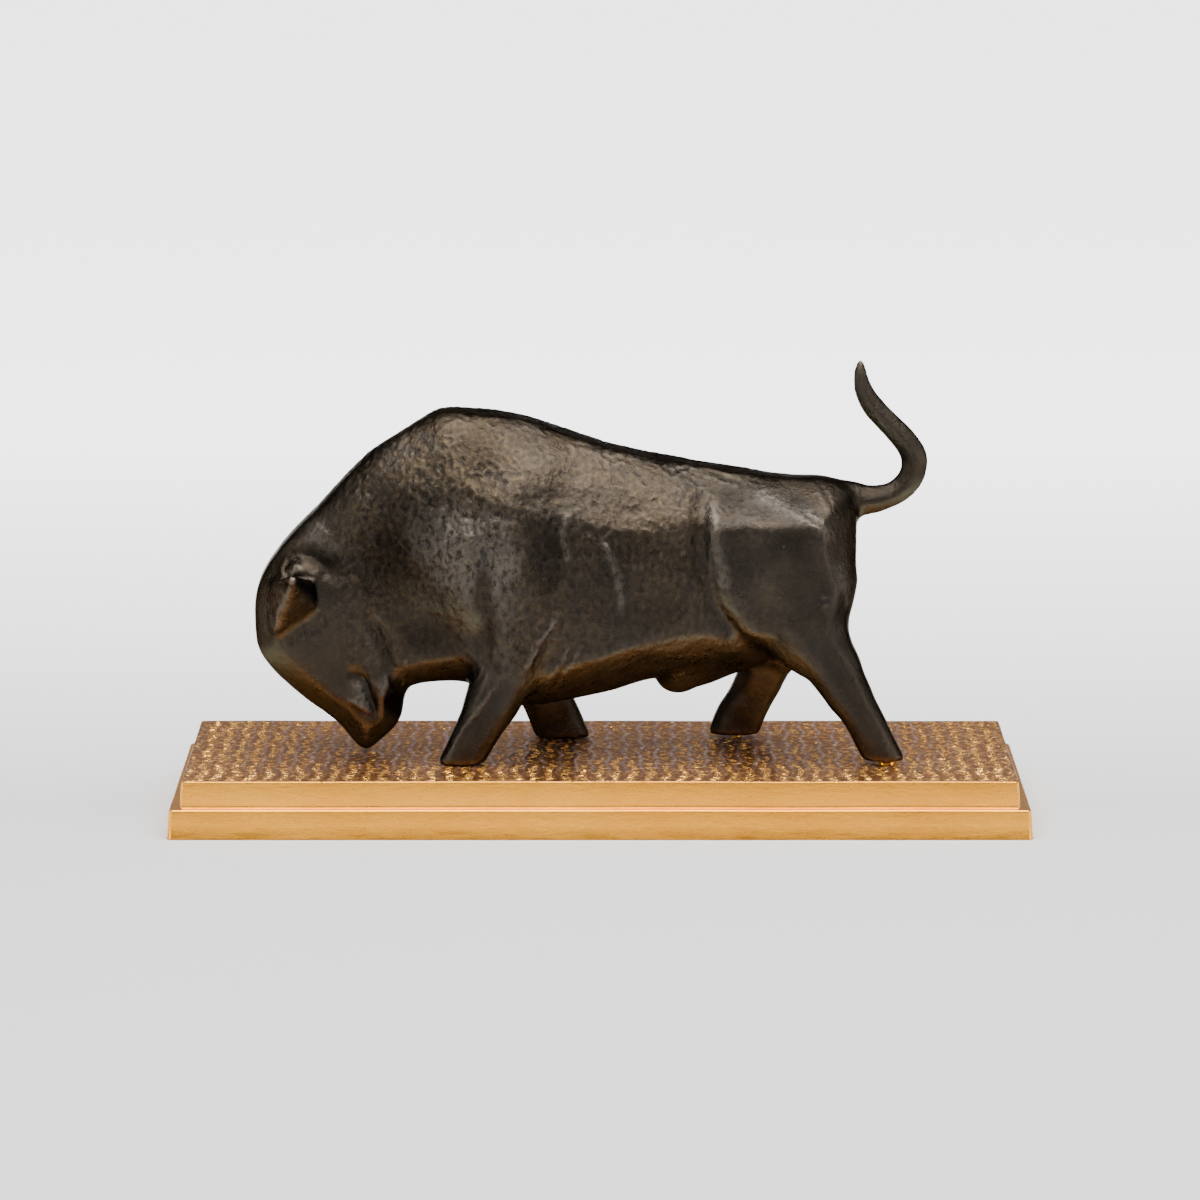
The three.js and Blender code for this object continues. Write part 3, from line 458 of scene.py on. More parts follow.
@dataclass(frozen=True)
class AntiqueGold:
    """Antique gold with satin sides, and tarnish in the chiselled top.

    A number with a pattern's name is the scale of its noise. Heights are in metres, and the chips' in
    shares of bump_height.
    """

    bright: Colour = (0.95, 0.42, 0.038)
    deep: Colour = (0.86, 0.35, 0.028)
    tarnish: Colour = (0.33, 0.13, 0.04)
    gleam: Colour = (1.0, 0.5, 0.11)
    silvered: Colour = (0.86, 0.62, 0.56)
    roughness: tuple[float, float] = (0.22, 0.34)
    grain: float = 1100.0
    stain: float = 22.0
    edge_wear: float = 0.6
    dash: Place = (430.0, 360.0, 300.0)
    chip: Place = (300.0, 360.0, 300.0)
    chip_height: tuple[float, float] = (0.5, 15.0)
    bump_height: float = 0.0003
    side_strength: float = 0.22
    top_height: float = 0.0204

    def material(self, surface: CastSurface) -> Material:
        """Builds the material.

        Args:
            surface: the shared group of cast effects.

        Returns:
            The material.
        """
        material, tree, shader = new_material("antique_gold")
        cast = surface.place_in(tree, self.grain, self.stain, self.edge_wear)
        place = tree.place()
        height = tree.add("ShaderNodeSeparateXYZ", Vector=place).outputs["Z"]
        normal = tree.add("ShaderNodeNewGeometry").outputs["True Normal"]
        upward = tree.add("ShaderNodeSeparateXYZ", Vector=normal).outputs["Z"]
        level = tree.mapped(height, self.top_height - 0.001, self.top_height - 0.0005)
        on_top = tree.times(level, tree.mapped(upward, 0.3, 0.6))
        sides = tree.mixed(cast.outputs["Stain"], straight(self.bright), straight(self.deep))
        strokes = tree.noise(tree.stretched(place, self.dash), 1.0, 3.0, 0.6)
        gilt = tree.maths(Sum.ADD, tree.attribute("gilt"), tree.mapped(strokes, 0.38, 0.62, -0.45, 0.45))
        gilded = tree.mapped(gilt, 0.15, 0.75)
        chiselled = tree.mixed(gilded, straight(self.tarnish), straight(self.gleam))
        silver = tree.times(tree.attribute("silver"), tree.mapped(strokes, 0.38, 0.56, 0.1, 0.85))
        chiselled = tree.mixed(silver, chiselled, straight(self.silvered))
        tree.feed(shader, "Base Color", tree.mixed(on_top, sides, chiselled))
        tree.feed(shader, "Metallic", 1.0)
        brushed = tree.noise(tree.stretched(place, (1.0, 1.0, 9.0)), 90.0, 4.0, 0.6)
        rough_side = tree.mapped(brushed, 0.3, 0.7, *self.roughness)
        dull_top = tree.times(on_top, tree.mapped(gilt, 0.15, 0.75, 0.12, -0.04))
        tree.feed(shader, "Roughness", tree.maths(Sum.ADD, rough_side, dull_top))
        chips = tree.noise(tree.stretched(place, self.chip), 1.0, 2.0)
        hewn = tree.times(on_top, tree.mapped(gilt, 0.3, 0.9, *self.chip_height))
        struck = tree.add(
            "ShaderNodeBump", Strength=1.0, Distance=self.bump_height, Height=tree.times(hewn, chips)
        )
        ripple = tree.noise(tree.stretched(place, (1.0, 1.0, 4.0)), 160.0, 3.0)
        relief = tree.maths(Sum.ADD, tree.times(ripple, 0.6), tree.times(cast.outputs["Grain"], 0.4))
        bump = tree.add(
            "ShaderNodeBump", Strength=self.side_strength, Distance=self.bump_height, Height=relief,
            Normal=struck.outputs[0],
        )
        tree.feed(shader, "Normal", bump.outputs[0])
        return material


@dataclass
class Cut:
    """A groove or a raised lip drawn on the bull's side, in side view.

    Attributes:
        path: its corners, in millimetres.
        width: its half width, in millimetres.
        depth: how deep it goes, in millimetres; below 0 it is raised.
        lip: how high the metal is pushed up beside it, in millimetres.
    """

    path: list[Point]
    width: float
    depth: float
    lip: float = 0.0


@dataclass
class Facet:
    """A small sloping plane raised on the bull's side, in side view.

    Attributes:
        corners: its three corners and the height at each, in millimetres.
        fade: how softly its high edges drop, in millimetres.
    """

    corners: tuple[tuple[float, float, float], ...]
    fade: float = 0.8


@dataclass
class CastBull:
    """The bull: one casting, with its leathery skin and its cuts.

    Attributes:
        voxel: the size of the fine mesh's cells, in metres.
        smoothing: how many times the facets are eased.
        crease: the turn between faces, as 1 - cosine, that is kept as a crease.
        trunk_crease: how many times as much turn is eased on the trunk.
        loose_crease: how many times as much turn the first easings smooth.
        skin: the height of the skin's wrinkles, in millimetres.
        triangles: how many triangles the finished casting has at most.
        loose_steps: how many of the first easings also round the creases.
        easing: the share of the way that a point moves in one easing.
        facing_side: the share of a normal that points sideways, where marks begin and where they are full.
        waver: how far the cuts stray from their paths, in millimetres.
        waver_size: the length of one stray, in millimetres.
        broad_cut: the half width from which a cut doesn't taper at its ends, in millimetres.
        cuts: the grooves, folds and lips.
        facets: the small planes on the muzzle.
        painted_light_shade_zones: where the patina is painted lighter or darker as light and shade, such as
            the shaded neck hollow and the lit hump: x, z, both reaches and how much.
        rough_zones: where the skin is rougher, in the same way, in millimetres.
        brow_start: where the row of marks under the horn begins, in millimetres.
        brow_end: where it ends.
        brow_marks: how many marks it has.
    """

    voxel: float = 0.00066
    smoothing: int = 22
    crease: float = 0.02
    trunk_crease: float = 8.0
    loose_crease: float = 10.0
    skin: float = 0.26
    triangles: int = 192000
    loose_steps: int = 3
    easing: float = 0.6
    facing_side: tuple[float, float] = (0.15, 0.5)
    waver: float = 0.8
    waver_size: float = 4.0
    broad_cut: float = 2.0
    cuts: list[Cut] = field(default_factory=lambda: [
        Cut([(-112.4, 87.6), (-113.9, 90.2), (-112.9, 93.4), (-110.1, 94.3), (-107.6, 92.9)], 0.8, 0.7, 0.3),
        Cut([(-110.6, 90.3), (-110.3, 90.7)], 2.3, -1),
        Cut([(-119, 87), (-116.8, 92.6), (-111.9, 96.2), (-104.5, 95.2), (-99.7, 90.5)], 2.4, 0.8),
        Cut([(-117.6, 83.5), (-118, 77), (-118.6, 70)], 2.8, -2.6),
        Cut([(-103.5, 105), (-96.5, 100), (-90.5, 101)], 4.6, -0.9),
        Cut([(-12.6, 137.7), (0, 133.7), (4.3, 130.4), (10.1, 131.1)], 0.6, 0.28, 0.2),
        Cut([(16.2, 133.7), (25.9, 125.3), (31.7, 127.1), (32.4, 131.9)], 0.6, 0.28, 0.2),
        Cut([(37.8, 126.2), (52.2, 121.8)], 0.6, 0.25, 0.18),
        Cut([(77.4, 123.8), (84.7, 113.9)], 0.8, 0.25, 0.2),
        Cut([(73.9, 112.5), (81.1, 108.1)], 0.8, 0.35, 0.3),
        Cut([(80.6, 81), (82.4, 81.6)], 0.7, 0.25, 0.2),
        Cut([(-9.1, 64.4), (-17.4, 47.8)], 0.9, 0.4, 0.3),
        Cut([(-41.9, 99.7), (-42.5, 80), (-39.9, 59.2)], 3, 0.9, 0.2),
        Cut([(-83, 73), (-78.4, 62), (-76.6, 54)], 1.8, 0.35, 0.1),
        Cut([(-81.2, 70), (-80.2, 64.5)], 0.6, 0.3, 0.1),
        Cut([(-78.8, 64.5), (-78, 58.5)], 0.6, 0.3, 0.1),
        Cut([(-76.9, 59.5), (-76.4, 52.5)], 0.6, 0.3, 0.1),
        Cut([(-70.7, 59), (-70.9, 46)], 0.7, -0.4),
        Cut([(-10.8, 114.5), (-13.4, 106), (-11.4, 95.5)], 1.3, -0.7),
        Cut([(1, 105), (6.8, 91), (8, 77.5)], 1.5, -0.7),
        Cut([(-15, 77), (-22, 66), (-27, 55.5)], 1.3, -0.7),
        Cut([(-27, 117), (-25, 103), (-21, 92)], 4.5, 1.4),
        Cut([(-66, 99), (-54, 101), (-42, 99)], 13, -1.3),
        Cut([(-82, 118), (-76, 106), (-68, 90)], 6, 1.2),
        Cut([(-49, 134), (-41, 128)], 6, 1),
        Cut([(-94, 104), (-82, 90), (-78, 78)], 6, 0.8),
        Cut([(-55.6, 24), (-49.5, 35.5), (-43.3, 42.5), (-37.5, 52)], 0.8, -0.5),
        Cut([(37.3, 117), (37.8, 104), (37.6, 92)], 1.3, 0.15),
        Cut([(41.2, 116), (41, 104), (44.8, 91), (44.6, 88)], 2.2, -0.6),
        Cut([(43.5, 81), (49, 69.5), (57, 60.5)], 1.5, 0.2, 0.1),
        Cut([(60, 118.5), (74, 111.5), (82, 106)], 3, -0.6),
        Cut([(87.5, 93), (91, 78)], 2.2, -0.5),
    ])
    facets: list[Facet] = field(default_factory=lambda: [
        Facet(((-95, 43, 0), (-86.6, 51, 0.15), (-82.9, 37.2, 1.25)), 1.2),
        Facet(((-86, 51, -0.35), (-82.4, 38, -0.6), (-75.6, 45, 0.85)), 1.2),
        Facet(((-86, 51, -0.3), (-78, 54, 0.2), (-75.6, 45, 0.85)), 1.2),
    ])
    # painted light and shade in side view: the dark neck hollow, shaded ribs and tail, the lit hump band, and
    # the belly's underside lit from the plinth
    painted_light_shade_zones: tuple[tuple[float, ...], ...] = (
        (-76, 97, 13, 17, -0.8),
        (-66, 119, 11, 11, -0.4),
        (-44, 134, 10, 8, -0.55),
        (-71, 133, 8, 8, 0.55),
        (-53, 103, 7, 17, 0.3),
        (-32, 99, 6, 20, 0.45),
        (-18, 101, 7, 14, -0.55),
        (-101, 93, 5, 4.5, -0.55),
        (4, 96, 8, 14, -0.3),
        (-43, 38, 14, 15, -0.25),
        (103, 120, 14, 14, -0.4),
        (90, 42, 16, 24, -0.25),
        (-117.5, 77, 3.5, 9, 0.5),
        (-110, 95.5, 9, 3.5, -0.5),
        (-60, 66, 14, 8, -0.4),
        (-14, 131, 20, 8, 0.2),
        (69, 103, 8, 8, -0.35),
        (48, 119, 7, 4, -0.45),
        (60, 90, 14, 12, 0.15),
        (15, 43, 36, 9, 0.5),
    )
    rough_zones: tuple[tuple[float, ...], ...] = (
        (-58, 106, 24, 24, 1.1),
        (-44, 126, 14, 14, 0.5),
        (-84, 96, 14, 14, 0.7),
        (-8, 103, 20, 20, 0.5),
        (22, 108, 18, 18, 0.4),
        (-24, 64, 12, 12, 0.5),
    )
    brow_start: Point = (-113.4, 65.1)
    brow_end: Point = (-98.1, 73.2)
    brow_marks: int = 11

    def build(self, node: Object) -> Object:
        """Makes the fine casting over its solid.

        Args:
            node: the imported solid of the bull.

        Returns:
            The dressed object, without its finish.
        """
        bull = placed("cast_bull", node.data.copy())
        self.cover_evenly(bull)
        self.ease_facets(bull.data)
        self.raise_relief(bull.data)
        self.thin_out(bull)
        shade_smooth(bull.data)
        LOG.info("bull: %d triangles", len(bull.data.polygons))
        return bull

    def cover_evenly(self, bull: Object) -> None:
        """Covers the solid with an even fine mesh."""
        remesh = bull.modifiers.new("even_mesh", "REMESH")
        remesh.mode = "VOXEL"
        remesh.voxel_size = self.voxel
        bake(bull)

    def thin_out(self, bull: Object) -> None:
        """Thins the even mesh to the wanted number of triangles, most where it is flat."""
        bull.data.calc_loop_triangles()
        thin = bull.modifiers.new("thin", "DECIMATE")
        thin.ratio = self.triangles / len(bull.data.loop_triangles)
        thin.use_collapse_triangulate = True
        bake(bull)

    def ease_facets(self, mesh: Mesh) -> None:
        """Smooths flat facets into each other and keeps the creases.

        Args:
            mesh: the fine mesh.
        """
        edges = np.empty(len(mesh.edges) * 2, dtype=np.int64)
        mesh.edges.foreach_get("vertices", edges)
        a, b = edges.reshape(-1, 2).T
        points = vectors(mesh.vertices, "co")
        count = len(points)
        middle = (points[a] + points[b]) / (2.0 * MM)
        trunk = smooth_step(-60.0, -35.0, middle[:, 0]) * smooth_step(62.0, 80.0, middle[:, 2])
        crease = self.crease * (1.0 + (self.trunk_crease - 1.0) * trunk)
        for step in range(self.smoothing):
            normals = vectors(mesh.vertex_normals, "vector")
            turn = 1.0 - np.einsum("ij,ij->i", normals[a], normals[b])
            kept = self.loose_crease * self.crease if step < self.loose_steps else crease
            weight = np.exp(-turn / kept) + 0.01
            total = np.bincount(a, weight, count) + np.bincount(b, weight, count)
            move = np.empty_like(points)
            for axis in range(3):
                pull = weight * (points[b, axis] - points[a, axis])
                move[:, axis] = (np.bincount(a, pull, count) - np.bincount(b, pull, count)) / total
            points = points + self.easing * move
            move_points(mesh, points)

    def raise_relief(self, mesh: Mesh) -> None:
        """Moves the surface in and out for skin, cuts and brow.

        Args:
            mesh: the fine mesh.
        """
        points = vectors(mesh.vertices, "co")
        normals = vectors(mesh.vertex_normals, "vector")
        x, _, z = (points / MM).T
        cuts = self.cut_relief(points / MM, normals)
        planes = self.facet_relief(points / MM, normals)
        carved = cuts + planes + self.brow_relief(points / MM, normals)
        rough = self.skin_amount(x, z)
        moved = points + normals * (self.skin_relief(points, normals, rough) * MM)[:, None]
        moved[:, 1] += np.sign(normals[:, 1]) * carved * MM
        move_points(mesh, moved)
        # where wear is rubbed and a highlight is painted: the cuts' raised parts and the muzzle's planes
        worn = np.clip(cuts / 1.3, 0.0, 0.45) + 0.8 * smooth_step(0.1, 0.5, planes)
        add_mask(mesh, "wear_and_sheen", worn)
        add_mask(mesh, "skin", rough / 1.4)
        # painted reflection mask: how far each point faces down
        add_mask(mesh, "painted_underside_reflection", smooth_step(0.18, 0.5, -normals[:, 2]))
        # painted light and shade mask, 0.5 where the patina is left as it is
        add_mask(mesh, "painted_light_shade", 0.5 + 0.5 * zones_at(x, z, self.painted_light_shade_zones))

    def skin_amount(self, x: Array, z: Array) -> Array:
        """Says how rough the skin is at each point, from 0.2 to about 2."""
        return 0.2 + 0.5 * self.body_share(x, z) + zones_at(x, z, self.rough_zones)

    def body_share(self, x: Array, z: Array) -> Array:
        """Gives 1 on the neck, shoulder and flank, and 0 on the head, haunch, legs and tail."""
        return smooth_step(-108.0, -86.0, x) * (1.0 - smooth_step(45.0, 75.0, x)) * smooth_step(45.0, 62.0, z)

    def skin_relief(self, points: Array, normals: Array, rough: Array) -> Array:
        """Gives the wrinkled skin's height.

        Args:
            points: the surface's points, in metres.
            normals: the surface's normals.
            rough: how rough the skin is at each point.

        Returns:
            The height at each point, in millimetres.
        """
        x, _, z = (points / MM).T
        body = self.body_share(x, z)
        folds = 1.0 - 2.4 * np.abs(noise_at(points, 0.0031, 3.1, (1.0, 1.0, 1.8)))
        pebbles = noise_at(points, 0.0016, 11.7, (1.0, 1.0, 1.3))
        dents = noise_at(points, 0.0095, 23.9, (1.2, 1.2, 1.0))
        swells = noise_at(points, 0.021, 51.3, (1.0, 1.0, 1.2))
        fine = self.skin * rough * (0.6 * folds + 0.75 * pebbles)
        broad = smooth_step(0.3, 0.8, np.abs(normals[:, 1]))
        haunch = smooth_step(25.0, 55.0, x) * (1.0 - smooth_step(86.0, 96.0, x)) * smooth_step(66.0, 84.0, z)
        break_line = np.exp(-(((z - 106.0) / 13.0) ** 2)) * smooth_step(-30.0, -5.0, x)
        dented = (0.08 + 0.42 * body + 0.25 * haunch + 0.25 * break_line) * dents
        swollen = (0.1 + 0.7 * body + 0.6 * haunch + 0.5 * break_line) * broad * swells
        return fine + dented + swollen

    def facet_relief(self, places: Array, normals: Array) -> Array:
        """Gives the height of the small planes on the muzzle.

        Args:
            places: the surface's points, in millimetres.
            normals: the surface's normals.

        Returns:
            The height at each point, in millimetres.
        """
        x, _, z = places.T
        height = np.zeros(x.shape)
        for facet in self.facets:
            (ax, az, ah), (bx, bz, bh), (cx, cz, ch) = facet.corners
            area = (bx - ax) * (cz - az) - (cx - ax) * (bz - az)
            of_b = ((x - ax) * (cz - az) - (cx - ax) * (z - az)) / area
            of_c = ((bx - ax) * (z - az) - (x - ax) * (bz - az)) / area
            of_a = 1.0 - of_b - of_c
            reach = np.full(x.shape, np.inf)
            for share, (px, pz), (qx, qz) in (
                (of_a, (bx, bz), (cx, cz)),
                (of_b, (cx, cz), (ax, az)),
                (of_c, (ax, az), (bx, bz)),
            ):
                reach = np.minimum(reach, share * abs(area) / math.hypot(qx - px, qz - pz))
            inside = smooth_step(-0.5 * facet.fade, 0.5 * facet.fade, reach)
            height += inside * (of_a * ah + of_b * bh + of_c * ch)
        return height * smooth_step(*self.facing_side, np.abs(normals[:, 1]))

    def cut_relief(self, places: Array, normals: Array) -> Array:
        """Gives the height of the grooves, folds and lips.

        Args:
            places: the surface's points, in millimetres.
            normals: the surface's normals.

        Returns:
            The height at each point, in millimetres.
        """
        x = places[:, 0] + self.waver * noise_at(places, self.waver_size, 41.3)
        z = places[:, 2] + self.waver * noise_at(places, self.waver_size, 67.9)
        height = np.zeros(x.shape)
        for cut in self.cuts:
            away, along = distance_to_path(x, z, cut.path)
            taper = smooth_step(0.0, 0.15, along) * (1.0 - smooth_step(0.85, 1.0, along))
            taper = taper if cut.width < self.broad_cut else np.ones_like(along)
            groove = -cut.depth * np.exp(-((away / cut.width) ** 2))
            lip = cut.lip * np.exp(-(((away - 2.0 * cut.width) / cut.width) ** 2))
            height += (groove + lip) * (0.15 + 0.85 * taper)
        return height * smooth_step(*self.facing_side, np.abs(normals[:, 1]))

    def brow_relief(self, places: Array, normals: Array) -> Array:
        """Gives the height of the row of small chisel marks under the horn.

        Args:
            places: the surface's points, in millimetres.
            normals: the surface's normals.

        Returns:
            The height at each point, in millimetres.
        """
        x, y, z = places.T
        height = np.zeros(x.shape)
        outward = smooth_step(0.1, 0.4, np.abs(normals[:, 1])) * (np.abs(y) < 21.0)
        for i in range(self.brow_marks):
            share = i / (self.brow_marks - 1)
            at_x = self.brow_start[0] + share * (self.brow_end[0] - self.brow_start[0])
            at_z = self.brow_start[1] + share * (self.brow_end[1] - self.brow_start[1]) - 0.6
            at_z += 0.8 * math.sin(i * 5.1)
            tall = 1.3 + 0.5 * math.sin(i * 3.7)
            away = np.hypot((x - at_x + 0.25 * (z - at_z)) / 0.55, (z - at_z) / tall)
            height -= (0.42 + 0.18 * math.sin(i * 2.3)) * np.exp(-(away**2)) * outward
        return height

    def dress(self, bull: Object, finish: Material) -> None:
        """Gives the casting its finish and its place in the frame."""
        bull.data.materials.clear()
        bull.data.materials.append(finish)
        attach(bull, "root")
        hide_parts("bull")


@dataclass
class ChiselledPlinth:
    """The two-tier plinth: smooth sides, worn edges and a top covered in chisel marks.

    Attributes:
        corner_radius: the radius of its upright corners.
        least_radius: their radius at the upper tier.
        corner_steps: the facets in each corner.
        wall_steps: the faces along each wall.
        ledge: the width of the step between the tiers.
        lower_height: the height of the lower tier.
        draft: how far each wall leans in.
        bevel: the worn edge's reach.
        cell: the size of the top's mesh cells.
        rib_pitch: the distance between the ribs that run from front to back.
        rib_height: their height.
        zigzag_pitch: half the length of a rib's zigzag.
        stroke_depth: how deep the chisel strokes are.
        masks: the first point and the values of each mask on the top.
        verts: the mesh's points so far.
        faces: its faces so far.
        margin: the smooth strip along the top's edges.
        peg_height: how far the pegs under the hind hooves stand up.
        peg_steps: the faces round a peg.
        sharp_angle: the turn, in degrees, from which an edge shades sharply.
        pegs: their places and radii.
    """

    corner_radius: float = 0.0025
    least_radius: float = 0.0012
    corner_steps: int = 8
    wall_steps: int = 60
    ledge: float = 0.0036
    lower_height: float = 0.0108
    draft: float = 0.0008
    bevel: float = 0.0005
    cell: tuple[float, float] = (0.00072, 0.00056)
    rib_pitch: float = 0.006
    rib_height: float = 0.00036
    zigzag_pitch: float = 0.011
    stroke_depth: float = 0.00022
    masks: dict[str, tuple[int, Array]] = field(default_factory=dict)
    verts: list[Place] = field(default_factory=list)
    faces: list[tuple[int, ...]] = field(default_factory=list)
    margin: float = 0.0012
    peg_height: float = 0.0013
    peg_steps: int = 24
    sharp_angle: float = 48.0
    pegs: tuple[Place, ...] = ((0.1044, -0.0231, 0.003), (0.0508, 0.0244, 0.0012))

    def build(self) -> Object:
        """Makes the plinth over its solid.

        Returns:
            The object, without its finish.
        """
        low, high = (Vector(corner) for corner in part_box("plinth"))
        half = Vector(((high.x - low.x) / 2, (high.y - low.y) / 2))
        top = high.z - self.peg_height
        rings = self.wall_rings(half, top)
        for ring in rings:
            self.verts.extend(ring)
        count = len(rings[0])
        for level in range(len(rings) - 1):
            self.add_band(level * count, count)
        self.faces.append(tuple(reversed(range(count))))
        self.add_top(half, top, (len(rings) - 1) * count, count)
        for x, y, radius in self.pegs:
            self.add_peg((x, y), radius, top)
        mesh = bpy.data.meshes.new("chiselled_plinth")
        mesh.from_pydata(self.verts, [], self.faces)
        mesh.validate()
        plinth = placed("chiselled_plinth", mesh)
        for name, (first, values) in self.masks.items():
            spread = np.zeros(len(mesh.vertices))
            spread[first:first + len(values)] = values
            add_mask(mesh, name, spread)
        shade_smooth(mesh)
        mesh.set_sharp_from_angle(angle=math.radians(self.sharp_angle))
        LOG.info("plinth: %d faces", len(mesh.polygons))
        return plinth

    def add_band(self, first: int, count: int) -> None:
        """Joins a ring of count points that begins at first to the ring after it."""
        for i in range(count):
            j = (i + 1) % count
            self.faces.append((first + i, first + j, first + count + j, first + count + i))

    def ring(self, half: Vector, inset: float, z: float) -> list[Place]:
        """Gives a rounded rectangle, a little uneven as a cast and filed edge is.

        Args:
            half: half the plinth's length and depth.
            inset: how far in the rectangle lies.
            z: its height.

        Returns:
            The points, anticlockwise.
        """
        radius = max(self.corner_radius - inset, self.least_radius)
        hx, hy = half.x - inset - radius, half.y - inset - radius
        arcs = []
        for corner, (sx, sy) in enumerate(((1, 1), (-1, 1), (-1, -1), (1, -1))):
            turns = [math.pi / 2 * (corner + i / self.corner_steps) for i in range(self.corner_steps + 1)]
            arcs.append([(sx * hx + radius * math.cos(t), sy * hy + radius * math.sin(t)) for t in turns])
        points = []
        for arc, after in zip(arcs, arcs[1:] + arcs[:1]):
            (ax, ay), (bx, by) = arc[-1], after[0]
            points += arc
            for i in range(1, self.wall_steps):
                share = i / self.wall_steps
                points.append((ax + share * (bx - ax), ay + share * (by - ay)))
        return [(x, y, z) for x, y in points]

    def wall_rings(self, half: Vector, top: float) -> list[list[Place]]:
        """Gives the rings up the plinth's walls.

        Args:
            half: half the plinth's length and depth.
            top: the height of its top.

        Returns:
            The rings, from the bottom up.
        """
        d, b, low = self.draft, self.bevel, self.lower_height
        foot = d + self.ledge
        levels = [(0.0003, 0.0), (0.0, 0.0003), (0.0001, 0.0008), (0.5 * d, low / 2)]
        levels += [(0.95 * d, low - 1.6 * b), (d, low - b), (d + 0.3 * b, low - 0.3 * b), (d + b, low)]
        levels += [(d + 1.6 * b, low), (foot, low)]
        levels += [(foot + 0.0002, low + 0.0004), (foot + 0.0002, low + 0.0009)]
        levels += [(foot + 0.5 * d, (low + top) / 2), (foot + 0.95 * d, top - 1.6 * b), (foot + d, top - b)]
        levels += [(foot + d + 0.3 * b, top - 0.3 * b), (foot + d + b, top)]
        rings = [self.ring(half, inset, z) for inset, z in levels]
        return [self.uneven(ring, level) for level, ring in enumerate(rings)]

    def uneven(self, ring: list[Place], level: int) -> list[Place]:
        """Lets an edge waver by a tenth of a millimetre or two; the two lowest rings stay flat.

        Args:
            ring: the ring's points.
            level: which ring it is, from the bottom.

        Returns:
            The wavering ring.
        """
        if level < 2:
            return ring
        wavering = []
        for x, y, z in ring:
            sway = noise.noise(Vector((x * 45.0, y * 45.0, 7.0 + z * 20.0))) * 0.00018
            dip = noise.noise(Vector((x * 30.0, y * 30.0, 3.0))) * 0.00016
            length = math.hypot(x, y)
            keep = 1.0 - abs(sway) / length
            wavering.append((x * keep, y * keep, z + (dip if level > 3 else 0.0)))
        return wavering

    def add_top(self, half: Vector, top: float, edge: int, count: int) -> None:
        """Adds the chiselled top inside the last ring.

        Args:
            half: half the plinth's length and depth.
            top: the height of the top.
            edge: the index of the last ring's first point.
            count: how many points that ring has.
        """
        inset = self.draft * 2 + self.bevel + self.ledge + self.margin
        hx, hy = half.x - inset, half.y - inset
        nx, ny = round(2 * hx / self.cell[0]), round(2 * hy / self.cell[1])
        xs = np.linspace(-hx, hx, nx + 1)
        ys = np.linspace(-hy, hy, ny + 1)
        grid_x, grid_y = np.meshgrid(xs, ys, indexing="ij")
        height, gilt, silver = self.chisel_relief(grid_x.ravel(), grid_y.ravel(), hx, hy)
        first = len(self.verts)
        self.masks = {"gilt": (first, gilt), "silver": (first, silver)}
        places = np.stack([grid_x.ravel(), grid_y.ravel(), top + height], 1)
        self.verts.extend(tuple(place) for place in places.tolist())
        width = ny + 1
        for i in range(nx):
            for j in range(ny):
                a = first + i * width + j
                self.faces.append((a, a + width, a + width + 1, a + 1))
        border = [first + nx * width + j for j in range(width)]
        border += [first + i * width + ny for i in range(nx - 1, -1, -1)]
        border += [first + j for j in range(ny - 1, -1, -1)]
        border += [first + i * width for i in range(1, nx)]
        self.bridge([edge + i for i in range(count)], border)

    def bridge(self, outer: list[int], inner: list[int]) -> None:
        """Fills the strip between two closed loops with triangles.

        Args:
            outer: the outer loop's points, anticlockwise.
            inner: the inner loop's points, anticlockwise.
        """
        def turn(index: int) -> float:
            """Gives the angle at which a point lies."""
            x, y, _ = self.verts[index]
            return math.atan2(y, x) % (2 * math.pi)

        outer = sorted(outer, key=turn)
        inner = sorted(inner, key=turn)
        outer_turns = [turn(i) for i in outer] + [turn(outer[0]) + 2 * math.pi]
        inner_turns = [turn(i) for i in inner] + [turn(inner[0]) + 2 * math.pi]
        i = j = 0
        while i < len(outer) or j < len(inner):
            here_out, here_in = outer[i % len(outer)], inner[j % len(inner)]
            if j >= len(inner) or (i < len(outer) and outer_turns[i + 1] <= inner_turns[j + 1]):
                self.faces.append((here_out, outer[(i + 1) % len(outer)], here_in))
                i += 1
            else:
                self.faces.append((here_out, inner[(j + 1) % len(inner)], here_in))
                j += 1

    def chisel_relief(self, x: Array, y: Array, hx: float, hy: float) -> tuple[Array, ...]:
        """Gives the height of the ribs and chisel strokes on the top, and where they shine.

        Args:
            x: the points' places along the plinth.
            y: their places across it.
            hx: half the chiselled field's length.
            hy: half its depth.

        Returns:
            The height of each point, in metres, its share of gold and its share of silvery sheen.
        """
        flat = np.stack([x, y, np.zeros_like(x)], 1)
        zigzag = np.abs((y / self.zigzag_pitch + 0.8 * np.sin(x * 40.0)) % 2.0 - 1.0) - 0.5
        sway = 0.0016 * zigzag + 0.001 * noise_at(flat, 0.014, 5.3, (1.6, 1.0, 1.0))
        sway += 0.0006 * noise_at(flat, 0.0024, 9.1)
        phase = (x + sway) / self.rib_pitch
        off = np.abs(phase - np.floor(phase) - 0.5)
        ridge = np.exp(-((off / 0.1) ** 2))
        channel = smooth_step(0.16, 0.4, off)
        strokes = noise_at(flat, 0.0013, 17.9, (1.0, 1.3, 1.0))
        cuts = noise_at(flat, 0.003, 27.1, (0.8, 1.4, 1.0))
        front = 1.0 - smooth_step(0.004, 0.034, y + hy)
        ends = smooth_step(0.1, 0.15, np.abs(x))
        middle = np.exp(-((x / 0.105) ** 4) - ((y / 0.04) ** 4))
        patch = noise_at(flat, 0.016, 61.7)
        gilt = channel * (0.25 + 0.7 * front + 0.4 * ends + 0.4 * patch) + 0.15 * ends + 0.3 * cuts
        silver = ridge * (1.0 - 0.85 * front) * (0.65 + 0.35 * middle - 0.5 * ends)
        edge = np.minimum(hx - np.abs(x), hy - np.abs(y))
